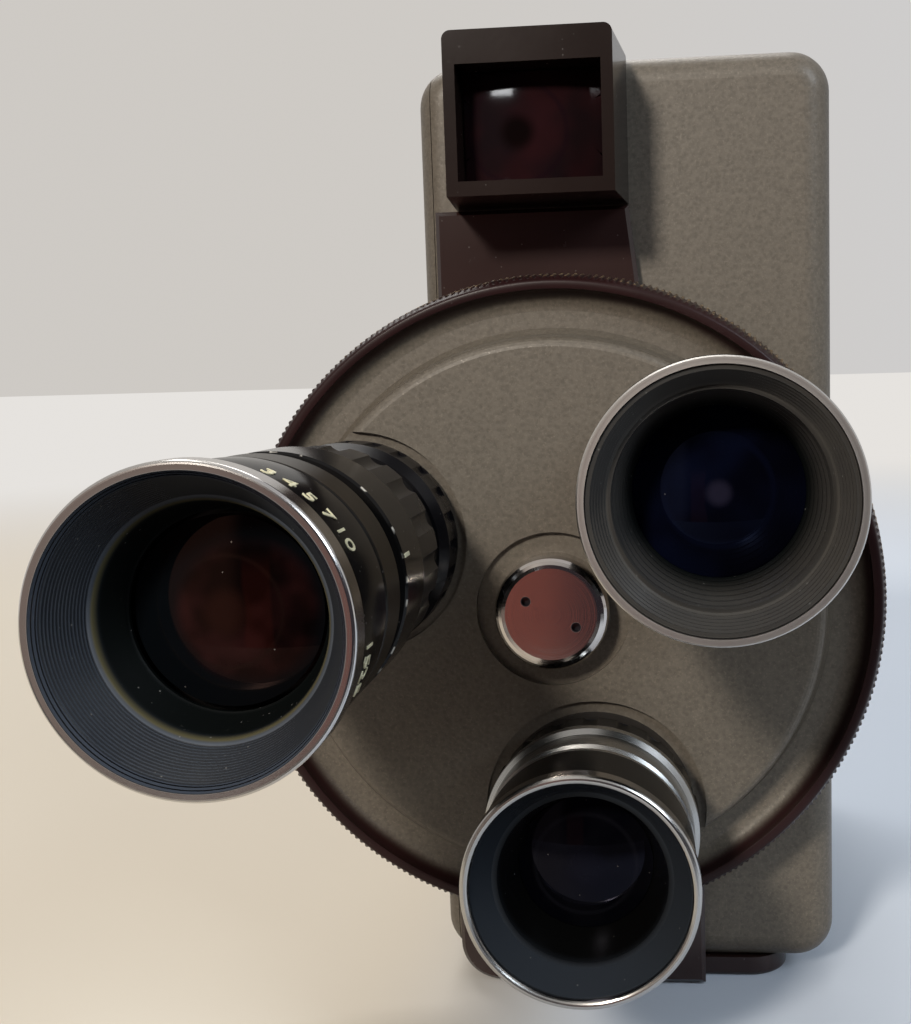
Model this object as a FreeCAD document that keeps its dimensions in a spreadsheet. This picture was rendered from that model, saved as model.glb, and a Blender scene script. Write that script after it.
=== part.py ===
import FreeCAD, Part
import Sketcher
import math
import os
import re

# Spring-wound 8 mm film camera with a turret of three lenses.
# Millimetres. X to the right as seen from the front, Y to the back, Z up.
# The origin is the mouth of the tripod socket, in the underside of the base.

SIZES = {
    # Casing
    "body_width": 55.3,
    "finder_rise": 19.4,
    "body_height": "=finder_low + finder_rise",
    "front_reach": 38.0,
    "back_reach": 48.0,
    "corner_radius": 5.3,
    "edge_radius": 3.6,
    "front_wall": 2.6,
    "side_wall": 2.4,
    "back_wall": 2.2,
    "floor_wall": 2.0,
    "roof_wall": 2.4,
    "base_height": 2.8,
    "base_left_inset": 5.25,
    "base_left": "=body_width / 2 - base_left_inset",
    "base_right_inset": 6.35,
    "base_right": "=body_width / 2 - base_right_inset",
    "base_inset": 1.2,
    "bush_radius": 5.5,
    "bush_bore": 2.6,
    "bush_length": 6.0,
    "boss_radius": 7.5,
    "boss_roof": 1.2,
    "running_gap": 0.05,
    "free_gap": 0.3,
    # Front plate
    "plate_inset": 2.45,
    "plate_left": "=body_width / 2 - plate_inset",
    "plate_top": "=finder_low - free_gap",
    "plate_right": 9.5,
    "plate_right_top": 0.8,
    "plate_knee": 34.0,
    "plate_bottom": 0.4,
    "plate_thickness": 2.2,
    "plate_corner": 5.5,
    # Film door
    "door_thickness": 1.8,
    "door_gap": 0.1,
    "door_lip": 1.3,
    "door_lip_wall": 1.2,
    "door_lip_gap": 0.5,
    "hinge_radius": 1.7,
    "hinge_pin_radius": 0.8,
    "hinge_length": 11.0,
    "hinge_low": 30.0,
    "hinge_drop": 36.1,
    "hinge_high": "=body_height - hinge_drop",
    "latch_y": 6.0,
    "latch_z": 58.0,
    "latch_radius": 8.6,
    "latch_height": 4.6,
    "latch_shaft": 2.6,
    "cam_length": 26.0,
    "cam_width": 7.0,
    "cam_thickness": 1.1,
    # Finder
    "finder_inset": 6.25,
    "finder_left": "=body_width / 2 - finder_inset",
    "finder_right": 0.3,
    "finder_gap": 10.2,
    "finder_low": "=turret_z + rim_radius + finder_gap",
    "finder_proud": 0.7,
    "finder_high": "=body_height + finder_proud",
    "hood_reach": 14.6,
    "hood_flare": 1.1,
    "window_side": 1.5,
    "window_low": 1.8,
    "window_high": 4.1,
    "window_depth": 6.2,
    "glass_thickness": 1.8,
    "glass_gap": 0.08,
    "finder_wall": 1.3,
    "tunnel_end": 11.0,
    "tunnel_shrink": 1.2,
    "eye_inset": 15.65,
    "eye_x": "=body_width / 2 - eye_inset",
    "eye_rise": 9.9,
    "eye_z": "=finder_low + eye_rise",
    "eye_radius": 7.6,
    "eye_nose": 5.2,
    "eye_bore": 4.0,
    "eye_reach": 4.4,
    # Turret
    "turret_x": 9.6,
    "turret_z": 56.0,
    "rim_front": 10.07,
    "rim_radius": 42.5,
    "rim_taper": 1.2,
    "rim_depth": 6.6,
    "rim_wall": 3.9,
    "rim_chamfer": 0.8,
    "rim_land": 1.2,
    "rim_cove": "=rim_wall - rim_land",
    "channel_width": 3.4,
    "plateau_radius": "=rim_radius - rim_wall - channel_width",
    "plateau_height": 2.6,
    "plateau_round": 1.3,
    "disc_back": 6.9,
    "recess_depth": 0.9,
    "recess_radius": 14.5,
    "hub_recess": 10.1,
    "lens_inset": 15.3,
    "lens_pitch": "=rim_radius - lens_inset",
    "lens_angle": 40.4,
    "lens_thread": 7.95,
    "thread_gap": 0.06,
    "nose_length": 7.4,
    "spindle_radius": 3.0,
    "spindle_flange": 9.5,
    "spindle_flange_height": 0.6,
    "hub_radius": 7.4,
    "hub_face": 5.9,
    "hub_height": 4.7,
    "hub_wall": 1.2,
    "hub_roof": 1.6,
    "spanner_pitch": 3.6,
    "spanner_radius": 0.5,
    "spanner_angle": 152.0,
    "nut_radius": 5.4,
    "nut_height": 1.6,
    "dimple_inset": 9.5,
    "dimple_pitch": "=rim_radius - dimple_inset",
    "dimple_radius": 1.2,
    "dimple_depth": 0.5,
    "plunger_radius": 1.5,
    "plunger_head": 2.4,
    # Telephoto lens
    "tele_length": 62.6,
    "tele_seat": 12.6,
    "tele_mount_radius": 13.4,
    "tele_mount_height": 9.0,
    "tele_core": 10.4,
    "tele_core_bore": 6.4,
    "tele_core_drop": 12.0,
    "tele_core_height": "=tele_length - tele_rim_height - tele_throat_depth - tele_core_drop",
    "tele_iris_height": 6.0,
    "tele_iris_radius": 12.2,
    "tele_focus_height": 12.0,
    "tele_focus_radius": 13.6,
    "tele_waist_radius": 12.4,
    "tele_waist_height": 4.6,
    "tele_barrel_radius": 14.3,
    "tele_barrel_wall": 1.2,
    "tele_rim_radius": 15.0,
    "tele_rim_bore": 14.08,
    "tele_rim_height": 3.4,
    "tele_throat_radius": 9.6,
    "tele_collar_radius": 11.0,
    "tele_collar_depth": 6.0,
    "tele_throat_depth": 10.6,
    "tele_glass_radius": 9.2,
    "tele_glass_edge": 2.4,
    "tele_glass_crown": 1.1,
    "tele_grooves": 9,
    # Wide lens
    "wide_length": 43.0,
    "wide_seat": 12.9,
    "wide_mount_height": 5.0,
    "wide_core": 9.6,
    "wide_core_bore": 6.0,
    "wide_core_drop": 7.8,
    "wide_core_height": "=wide_length - wide_rim_height - wide_step_depth - wide_throat_depth"
                        " - wide_core_drop",
    "wide_iris_height": 6.6,
    "wide_iris_radius": 12.6,
    "wide_neck_radius": 11.4,
    "wide_barrel_radius": 14.2,
    "wide_barrel_wall": 0.9,
    "wide_rim_radius": 14.13,
    "wide_rim_bore": 13.33,
    "wide_rim_height": 2.2,
    "wide_step": 11.3,
    "wide_step_depth": 1.2,
    "wide_throat_radius": 9.1,
    "wide_throat_depth": 10.3,
    "wide_glass_crown": 1.8,
    # Normal lens
    "normal_length": 30.2,
    "normal_seat": 12.9,
    "normal_mount_height": 4.4,
    "normal_core": 9.4,
    "normal_core_bore": 5.6,
    "normal_core_drop": 4.0,
    "normal_core_height": "=normal_length - normal_rim_height - normal_throat_depth - normal_core_drop",
    "normal_iris_height": 6.4,
    "normal_iris_radius": 13.5,
    "normal_ring_radius": 12.9,
    "normal_rim_radius": 13.5,
    "normal_rim_bore": 12.87,
    "normal_rim_round": 0.52,
    "normal_cone_radius": 10.4,
    "normal_rim_height": 2.6,
    "normal_throat_radius": 8.0,
    "normal_throat_depth": 8.2,
    "normal_glass_crown": 1.2,
    "rear_glass_edge": 1.4,
    "baffle_wall": 0.45,
    # Film path
    "lens_register": 17.5,
    "film_offset": 4.0,
    "film_width": 16.0,
    "gate_thickness": 1.2,
    "gate_rise": 6.0,
    "gate_low": "=turret_z + gate_rise",
    "gate_drop": 5.7,
    "gate_high": "=finder_low - gate_drop",
    "gate_window_width": 4.8,
    "gate_window_height": 3.6,
    "gate_foot": 5.0,
    "aperture_radius": 6.4,
    "pressure_gap": 0.2,
    "pressure_thickness": 1.2,
    "pressure_half_height": 13.0,
    "spring_reach": 6.0,
    "spring_thickness": 0.5,
    "spool_slack": 2.3,
    "spool_radius": "=(finder_low - base_height - floor_wall - spool_slack) / 4",
    "spool_room": 3.85,
    "spool_width": "=body_width / 2 - door_thickness + plate_x - spool_room",
    "spool_flange": 0.9,
    "spool_hub": 15.5,
    "spool_hub_wall": 1.3,
    "spool_bore": 4.0,
    "spool_window": 3.6,
    "spool_window_pitch": 9.4,
    "spool_y": 19.2,
    "spool_floor": 0.6,
    "spool_gap": 0.5,
    "spool_spacing": "=spool_radius * 2 + spool_gap",
    "spindle_tip": 2.2,
    "spindle_length": "=spool_width + spindle_tip",
    "guide_radius": 2.4,
    "guide_flange": 4.4,
    "guide_y": -21.5,
    "guide_rise": 0.5,
    "guide_low": "=turret_z + guide_rise",
    "guide_drop": 5.2,
    "guide_high": "=finder_low - guide_drop",
    # Movement
    "plate_x": -3.6,
    "plate_gauge": 1.6,
    "plate_foot": 8.0,
    "plate_drop": 3.2,
    "plate_head": "=finder_low - plate_drop",
    "bridge_x": 20.6,
    "bridge_gauge": 1.4,
    "bridge_low": 30.0,
    "bridge_drop": 8.7,
    "bridge_head": "=finder_low - bridge_drop",
    "bridge_front": -26.0,
    "bridge_back": 42.0,
    "pillar_radius": 2.2,
    "pillar_inset": 3.4,
    "tooth_module": 0.6,
    "gear_width": 1.4,
    "mesh_gap": 0.1,
    "drum_teeth": 80.0,
    "wheel_teeth": 32.0,
    "pinion_teeth": 8.0,
    "takeup_teeth": 40.0,
    "governor_teeth": 12.0,
    "drum_radius": 22.4,
    "drum_length": 16.8,
    "drum_step": 3.0,
    "drum_wall": 1.4,
    "drum_hub": 7.0,
    "drum_hollow": 1.0,
    "arbor_radius": 2.5,
    "drum_angle": 10.0,
    "wheel_angle": 78.0,
    "governor_angle": 50.0,
    "pinion_shift": 6.8,
    "shaft_radius": 0.8,
    "shutter_thickness": 0.6,
    "shutter_margin": 3.3,
    "shutter_opening": 165.0,
    "claw_gauge": 0.5,
    "claw_travel": 1.9,
    "governor_radius": 8.0,
    "ratchet_teeth": 16.0,
    "ratchet_radius": 8.0,
    "ratchet_width": 1.4,
    # Controls on the right side
    "key_hub": 6.2,
    "key_stem": 3.4,
    "key_span": 36.0,
    "key_width": 15.0,
    "key_thickness": 2.4,
    "key_lift": 2.0,
    "knob_y": 32.0,
    "knob_drop": 1.7,
    "knob_z": "=finder_low - knob_drop",
    "knob_radius": 6.8,
    "knob_height": 5.2,
    "button_y": -27.0,
    "button_z": 46.0,
    "button_radius": 4.0,
    "button_height": 3.6,
    "button_stem": 2.4,
    "button_travel": 2.0,
    "dial_y": -4.0,
    "dial_drop": 2.7,
    "dial_z": "=finder_low - dial_drop",
    "dial_radius": 9.5,
    "dial_height": 1.6,
    "dial_stem": 2.0,
    "screw_radius": 2.3,
    "screw_height": 0.9,
    "screw_slot": 0.6,
}

V = FreeCAD.Vector
FRONT = FreeCAD.Rotation(V(1, 0, 0), 90)
BACK = FreeCAD.Rotation(V(1, 0, 0), -90)
RIGHT = FreeCAD.Rotation(V(1, 1, 1), 120)
LEFT = FreeCAD.Rotation(V(0, 1, 0), -90)
UP = FreeCAD.Rotation()

doc = FreeCAD.newDocument("turret_camera")
sheet = doc.addObject("Spreadsheet::Sheet", "Sizes")
for row, alias in enumerate(SIZES, 1):
    sheet.set(f"A{row}", alias)
    sheet.setAlias(f"B{row}", alias)
for row, value in enumerate(SIZES.values(), 1):
    sheet.set(f"B{row}", str(value))
doc.recompute()

pieces = []


def size(alias):
    return float(sheet.get(alias))


def link(text):
    """Names the sheet in front of every size in an expression."""
    return re.sub(r"[a-z]+(?:_[a-z]+)+", lambda word: "Sizes." + word.group(0), text)


def place(piece, x, y, z, facing):
    piece.Placement = FreeCAD.Placement(V(0, 0, 0), facing)
    for axis, text in zip("xyz", (x, y, z)):
        piece.setExpression(f".Placement.Base.{axis}", link(text))


def new_body(label, x, y, z, facing):
    body = doc.addObject("PartDesign::Body", label)
    body.Label = label
    place(body, x, y, z, facing)
    pieces.append(body)
    return body


def sketch_on(body, role="XY_Plane", lift="0"):
    sketch = body.newObject("Sketcher::SketchObject", "sketch")
    plane = [item for item in body.Origin.OriginFeatures if item.Role == role][0]
    sketch.AttachmentSupport = [(plane, "")]
    sketch.MapMode = "FlatFace"
    sketch.setExpression(".AttachmentOffset.Base.z", link(lift))
    return sketch


def fix_point(sketch, geometry, point, x, y):
    """Ties one point of a sketch to two expressions."""
    start = sketch.getPoint(geometry, point)
    across = sketch.addConstraint(Sketcher.Constraint("DistanceX", -1, 1, geometry, point, start.x))
    along = sketch.addConstraint(Sketcher.Constraint("DistanceY", -1, 1, geometry, point, start.y))
    sketch.setExpression(f"Constraints[{across}]", link(x))
    sketch.setExpression(f"Constraints[{along}]", link(y))


def outline(sketch, points):
    """Draws a closed outline of straight lines through points given as expressions."""
    first = sketch.GeometryCount
    count = len(points)
    start = [
        V(math.cos(2 * math.pi * (k + 0.3) / count), math.sin(2 * math.pi * (k + 0.3) / count), 0)
        for k in range(count)
    ]
    for k in range(count):
        sketch.addGeometry(Part.LineSegment(start[k], start[(k + 1) % count]))
    for k in range(count):
        sketch.addConstraint(Sketcher.Constraint("Coincident", first + k, 2, first + (k + 1) % count, 1))
    for k in range(count):
        fix_point(sketch, first + k, 1, *points[k])


def circle(sketch, x, y, radius):
    index = sketch.addGeometry(Part.Circle(V(3, 4, 0), V(0, 0, 1), 2))
    fix_point(sketch, index, 3, x, y)
    bound = sketch.addConstraint(Sketcher.Constraint("Radius", index, 2))
    sketch.setExpression(f"Constraints[{bound}]", link(radius))


def rectangle(sketch, left, low, right, high):
    outline(sketch, [(left, low), (right, low), (right, high), (left, high)])


def check_change(body, before, grows):
    doc.recompute()
    change = body.Shape.Volume - before
    if (change > 0) != grows or abs(change) < 1e-4:
        raise RuntimeError(f"{body.Label}: a feature did not change the volume as it should")


def volume(body):
    return body.Shape.Volume if body.Tip else 0.0


def pad(body, sketch, length, reverse=False):
    before = volume(body)
    feature = body.newObject("PartDesign::Pad", "pad")
    feature.Profile = sketch
    feature.setExpression("Length", link(length))
    feature.Reversed = reverse
    check_change(body, before, True)
    return feature


def cut(body, sketch, length="", reverse=False):
    """Pockets a sketch: to a length, or right through both ways."""
    before = volume(body)
    feature = body.newObject("PartDesign::Pocket", "pocket")
    feature.Profile = sketch
    if length:
        feature.setExpression("Length", link(length))
        feature.Reversed = reverse
    else:
        feature.Type = "ThroughAll"
        feature.Midplane = True
    check_change(body, before, False)
    return feature


def revolve(body, points):
    """Turns an outline of (radius, height) points about the body's own Z axis."""
    sketch = sketch_on(body, "XZ_Plane")
    outline(sketch, points)
    before = volume(body)
    feature = body.newObject("PartDesign::Revolution", "turned")
    feature.Profile = sketch
    feature.ReferenceAxis = (sketch, ["V_Axis"])
    feature.Angle = 360
    check_change(body, before, True)
    return feature


def around(body, feature, count):
    """Repeats a feature evenly round the body's own Z axis."""
    pattern = body.newObject("PartDesign::PolarPattern", "pattern")
    pattern.Originals = [feature]
    pattern.Axis = (feature.Profile[0], ["N_Axis"])
    pattern.Angle = 360
    pattern.Occurrences = count
    body.Tip = pattern
    doc.recompute()
    return pattern


def soften(body, wanted, radius, kind="Fillet"):
    """Rounds or bevels the edges that the test picks, in the body's own frame."""
    base = body.Tip
    names = [f"Edge{k + 1}" for k, edge in enumerate(base.Shape.Edges) if wanted(edge)]
    feature = body.newObject(f"PartDesign::{kind}", kind.lower())
    feature.Base = (base, names)
    feature.setExpression("Radius" if kind == "Fillet" else "Size", link(radius))
    doc.recompute()
    return feature


def arc(across, along, radius, first, last, steps=5):
    """Outline points on an arc round a centre, from one angle to another in degrees."""
    points = []
    for k in range(steps + 1):
        angle = math.radians(first + (last - first) * k / steps)
        points.append((
            f"{across} + ({radius}) * {math.cos(angle):.5f}", f"{along} + ({radius}) * {math.sin(angle):.5f}"
        ))
    return points


def dome(radius, low, rise, steps=6):
    """Outline points of a lens face, from its edge to its middle."""
    shares = [1 - k / steps for k in range(steps + 1)]
    return [
        (f"({radius}) * {share:.5f}", f"{low} + ({rise}) * {1 - share * share:.5f}") for share in shares
    ]


def flutes(body, count, pitch, radius, low, high):
    """Cuts round-bottomed flutes along the outside, from one height to another."""
    sketch = sketch_on(body, "XY_Plane", high)
    circle(sketch, pitch, "0", radius)
    return around(body, cut(body, sketch, f"{high} - ({low})"), count)


def turned(label, x, y, z, facing, points):
    body = new_body(label, x, y, z, facing)
    revolve(body, points)
    return body


def solid(label, shape, x, y, z, facing):
    """Adds a piece whose shape is worked out in code, such as a toothed wheel."""
    piece = doc.addObject("Part::Feature", label)
    piece.Label = label
    piece.Shape = shape
    place(piece, x, y, z, facing)
    pieces.append(piece)
    return piece


def along_depth(edge):
    ends = [vertex.Point for vertex in edge.Vertexes]
    return len(ends) == 2 and abs(ends[0].x - ends[1].x) + abs(ends[0].y - ends[1].y) < 1e-6


def in_plane(height, reach=1e-4):
    return lambda edge: abs(edge.BoundBox.ZMin - height) < reach and abs(edge.BoundBox.ZMax - height) < reach


# Places that several pieces share, as expressions
half_width = "body_width / 2"
turret_left = "-turret_x"
rim_plane = "(front_reach + rim_front)"
seat_plane = f"({rim_plane} + plateau_height - recess_depth)"
film_plane = f"({seat_plane} - lens_register)"
lens_high = "(turret_z + lens_pitch)"
door_inner = "(body_width / 2 - door_thickness)"
cavity_left = "(body_width / 2 - door_thickness - door_gap)"
cavity_floor = "(base_height + floor_wall)"
cavity_right = "(body_width / 2 - side_wall)"
film_middle = "(turret_x + film_offset)"
gear_x = "(plate_x + plate_gauge + free_gap)"
takeup_z = f"({cavity_floor} + spool_floor + spool_radius)"
supply_z = f"({takeup_z} + spool_spacing)"
takeup_reach = "(tooth_module * (drum_teeth + takeup_teeth) / 2 + mesh_gap)"
wheel_reach = "(tooth_module * (drum_teeth + wheel_teeth) / 2 + mesh_gap)"
governor_reach = "(tooth_module * (drum_teeth + governor_teeth) / 2 + mesh_gap)"
drum_y = f"(spool_y - {takeup_reach} * sin(drum_angle))"
drum_z = f"({takeup_z} + {takeup_reach} * cos(drum_angle))"
wheel_y = f"({drum_y} - {wheel_reach} * sin(wheel_angle))"
wheel_z = f"({drum_z} + {wheel_reach} * cos(wheel_angle))"
shaft_x = "(plate_x + pinion_shift)"


def rounded_block(body):
    """The casing's outer form, which the housing and the film door share."""
    sketch = sketch_on(body)
    rectangle(sketch, "-body_width / 2", "base_height", "body_width / 2", "body_height")
    pad(body, sketch, "front_reach + back_reach", True)
    soften(body, along_depth, "corner_radius")
    faces = (0, -size("front_reach") - size("back_reach"))
    soften(body, lambda edge: in_plane(faces[0])(edge) or in_plane(faces[1])(edge), "edge_radius")


def make_housing():
    body = new_body("main_housing", "0", "-front_reach", "0", FRONT)
    rounded_block(body)
    slice_off = sketch_on(body, "YZ_Plane", f"-{cavity_left}")
    rectangle(slice_off, "-10", "-front_reach - back_reach - 10", "body_height + 10", "10")
    cut(body, slice_off, "door_thickness + door_gap + 10")
    room = sketch_on(body, "YZ_Plane", f"-{cavity_left}")
    rectangle(
        room, cavity_floor, "back_wall - front_reach - back_reach", "body_height - roof_wall", "-front_wall"
    )
    cut(body, room, f"{cavity_left} + {cavity_right}", True)
    front = sketch_on(body)
    circle(front, turret_left, lens_high, "aperture_radius")
    cut(body, front, "front_wall + 1")
    axle = sketch_on(body)
    circle(axle, turret_left, "turret_z", "spindle_radius")
    circle(axle, turret_left, "turret_z - dimple_pitch", "plunger_radius + running_gap")
    circle(axle, shaft_x, wheel_z, "shaft_radius + running_gap")
    cut(body, axle, "front_wall + 1")
    hood = sketch_on(body)
    rectangle(hood, "-finder_left", "finder_low", "-finder_right", "body_height - roof_wall")
    cut(body, hood, "front_wall + 1")
    eye = sketch_on(body, "XY_Plane", "-front_reach - back_reach")
    circle(eye, "-eye_x", "eye_z", "eye_nose")
    cut(body, eye, "back_wall + 1", True)
    side = sketch_on(body, "YZ_Plane", half_width)
    circle(side, drum_z, f"-front_reach - {drum_y}", "key_stem + running_gap")
    circle(side, "knob_z", "-front_reach - knob_y", "dial_stem + running_gap")
    circle(side, "button_z", "-front_reach - button_y", "button_stem + running_gap")
    circle(side, "dial_z", "-front_reach - dial_y", "dial_stem + running_gap")
    cut(body, side, "side_wall + 1")
    boss = sketch_on(body, "XZ_Plane", f"-{cavity_floor}")
    circle(boss, "0", "-front_reach", "boss_radius")
    pad(body, boss, f"bush_length + boss_roof - {cavity_floor}", True)
    socket = sketch_on(body, "XZ_Plane")
    circle(socket, "0", "-front_reach", "bush_radius")
    cut(body, socket, "bush_length")
    knuckles(
        body, ("hinge_low", "hinge_high"),
        (f"-{cavity_left} + free_gap", f"-{door_inner} + hinge_radius * 3"),
        "hinge_pin_radius"
    )


def knuckles(body, heights, leaf_sides, hole):
    """Hinge barrels behind the back wall, each with a leaf to the piece that carries it."""
    back = "-front_reach - back_reach"
    for height in heights:
        barrel = sketch_on(body, "XZ_Plane", f"-({height})")
        circle(barrel, f"-{door_inner}", f"{back} - hinge_radius", "hinge_radius")
        pad(body, barrel, "hinge_length", True)
        leaf = sketch_on(body, "XZ_Plane", f"-({height})")
        rectangle(leaf, leaf_sides[0], f"{back} - hinge_radius", leaf_sides[1], f"{back} + back_wall")
        pad(body, leaf, "hinge_length", True)
    pin = sketch_on(body, "XZ_Plane")
    circle(pin, f"-{door_inner}", f"{back} - hinge_radius", hole)
    cut(body, pin)


def make_door():
    body = new_body("film_door", "0", "-front_reach", "0", FRONT)
    rounded_block(body)
    rest = sketch_on(body, "YZ_Plane", f"-{door_inner}")
    rectangle(rest, "-10", "-front_reach - back_reach - 10", "body_height + 10", "10")
    cut(body, rest, "body_width", True)
    lip = sketch_on(body, "YZ_Plane", f"-{door_inner}")
    edge = (
        f"{cavity_floor} + door_lip_gap", "back_wall - front_reach - back_reach + door_lip_gap",
        "body_height - roof_wall - door_lip_gap", "-front_wall - door_lip_gap",
    )
    rectangle(lip, *edge)
    pad(body, lip, "door_lip")
    hollow = sketch_on(body, "YZ_Plane", f"-{door_inner} + door_lip")
    rectangle(
        hollow, f"{edge[0]} + door_lip_wall", f"{edge[1]} + door_lip_wall",
        f"{edge[2]} - door_lip_wall", f"{edge[3]} - door_lip_wall"
    )
    cut(body, hollow, "door_lip")
    latch = sketch_on(body, "YZ_Plane", f"-{door_inner}")
    circle(latch, "latch_z", "-front_reach - latch_y", "latch_shaft + running_gap")
    cut(body, latch)
    between = ("hinge_low + hinge_length + free_gap", "hinge_high - hinge_length - free_gap")
    leaf_sides = (f"-{door_inner} - door_thickness * 0.7", f"-{door_inner}")
    knuckles(body, between, leaf_sides, "hinge_pin_radius + running_gap")


def make_base():
    base = new_body("base_plate", "0", "0", "0", UP)
    sketch = sketch_on(base)
    rectangle(sketch, "-base_left", "base_inset - front_reach", "base_right", "back_reach - base_inset")
    pad(base, sketch, "base_height")
    soften(base, along_depth, "plate_corner")
    soften(base, in_plane(0), "base_height / 4")
    hole = sketch_on(base)
    circle(hole, "0", "0", "bush_radius")
    cut(base, hole)
    turned("tripod_bush", "0", "0", "0", UP, [
        ("bush_bore", "0"), ("bush_radius", "0"), ("bush_radius", "bush_length"),
        ("bush_bore", "bush_length"),
    ])


def make_front_plate():
    body = new_body("front_plate", "0", "-front_reach", "0", FRONT)
    sketch = sketch_on(body)
    outline(sketch, [
        ("-plate_left", "plate_bottom"), ("plate_right", "plate_bottom"), ("plate_right", "plate_knee"),
        ("plate_right_top", "plate_top"), ("-plate_left", "plate_top"),
    ])
    pad(body, sketch, "plate_thickness")
    corner = V(-size("plate_left"), size("plate_bottom"), 0)
    soften(body, lambda edge: along_depth(edge) and (edge.Vertexes[0].Point - corner).Length
           < size("plate_thickness") + 0.01, "plate_corner")
    soften(body, in_plane(size("plate_thickness")), "plate_thickness / 4", "Chamfer")
    holes = sketch_on(body)
    circle(holes, turret_left, lens_high, "aperture_radius")
    circle(holes, turret_left, "turret_z", "spindle_radius")
    circle(holes, turret_left, "turret_z - dimple_pitch", "plunger_radius + running_gap")
    cut(body, holes)


def section(body, lift, left, low, right, high):
    sketch = sketch_on(body, "XY_Plane", lift)
    rectangle(sketch, left, low, right, high)
    return sketch


def loft(body, first, last, adds=True):
    before = volume(body)
    kind = "AdditiveLoft" if adds else "SubtractiveLoft"
    feature = body.newObject(f"PartDesign::{kind}", "loft")
    feature.Profile = first
    feature.Sections = [last]
    feature.Ruled = True
    check_change(body, before, adds)
    return feature


def make_finder():
    body = new_body("finder_housing", "0", "-front_reach", "0", FRONT)
    front = section(body, "hood_reach", "-finder_left", "finder_low", "-finder_right", "finder_high")
    root = section(
        body, "0", "-finder_left - hood_flare", "finder_low", "-finder_right + hood_flare", "finder_high"
    )
    loft(body, front, root)
    soften(body, lambda edge: edge.BoundBox.ZLength > size("hood_reach") / 2 and
           edge.BoundBox.YMin > size("finder_high") - 0.1, "hood_flare")
    near = section(
        body, "0", "-finder_left + free_gap", "finder_low + free_gap",
        "-finder_right - free_gap", "body_height - roof_wall - free_gap"
    )
    end = "back_wall + free_gap - front_reach - back_reach"
    far = section(
        body, end, "-eye_x - tunnel_end / 2", "eye_z - tunnel_end / 2",
        "-eye_x + tunnel_end / 2", "body_height - roof_wall - free_gap"
    )
    loft(body, near, far)
    window = section(
        body, "hood_reach", "-finder_left + window_side", "finder_low + window_low",
        "-finder_right - window_side", "finder_high - window_high"
    )
    cut(body, window, "window_depth")
    ledge = ("window_side + finder_wall", "window_low + finder_wall", "window_high + finder_wall")
    tunnel_front = section(
        body, "hood_reach - window_depth + 0.01", f"-finder_left + {ledge[0]}", f"finder_low + {ledge[1]}",
        f"-finder_right - ({ledge[0]})", f"finder_high - ({ledge[2]})"
    )
    tunnel_back = section(
        body, f"{end} - 0.01", "-eye_x - tunnel_end / 2 + tunnel_shrink",
        "eye_z - tunnel_end / 2 + tunnel_shrink",
        "-eye_x + tunnel_end / 2 - tunnel_shrink", "body_height - roof_wall - free_gap - tunnel_shrink"
    )
    loft(body, tunnel_front, tunnel_back, False)

    glass = new_body("finder_glass", "0", "-front_reach - hood_reach + window_depth", "0", FRONT)
    pane = sketch_on(glass)
    rectangle(
        pane, "-finder_left + window_side + glass_gap", "finder_low + window_low + glass_gap",
        "-finder_right - window_side - glass_gap", "finder_high - window_high - glass_gap"
    )
    pad(glass, pane, "glass_thickness")
    soften(glass, in_plane(size("glass_thickness")), "glass_thickness / 3", "Chamfer")

    turned("finder_eyepiece", "-eye_x", "back_reach", "eye_z", BACK, [
        ("eye_bore", "-back_wall"), ("eye_nose", "-back_wall"), ("eye_nose", "0"), ("eye_radius", "0"),
        ("eye_radius", "eye_reach - 1"), ("eye_radius - 1", "eye_reach"), ("eye_bore + 1.4", "eye_reach"),
        ("eye_bore", "eye_reach - 1.4"),
    ])
    turned("eye_lens", "-eye_x", "back_reach", "eye_z", BACK, [
        ("0", "0"), ("eye_bore - glass_gap", "0"),
        *dome("eye_bore - glass_gap", "glass_thickness", "0.5"),
    ])


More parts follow.
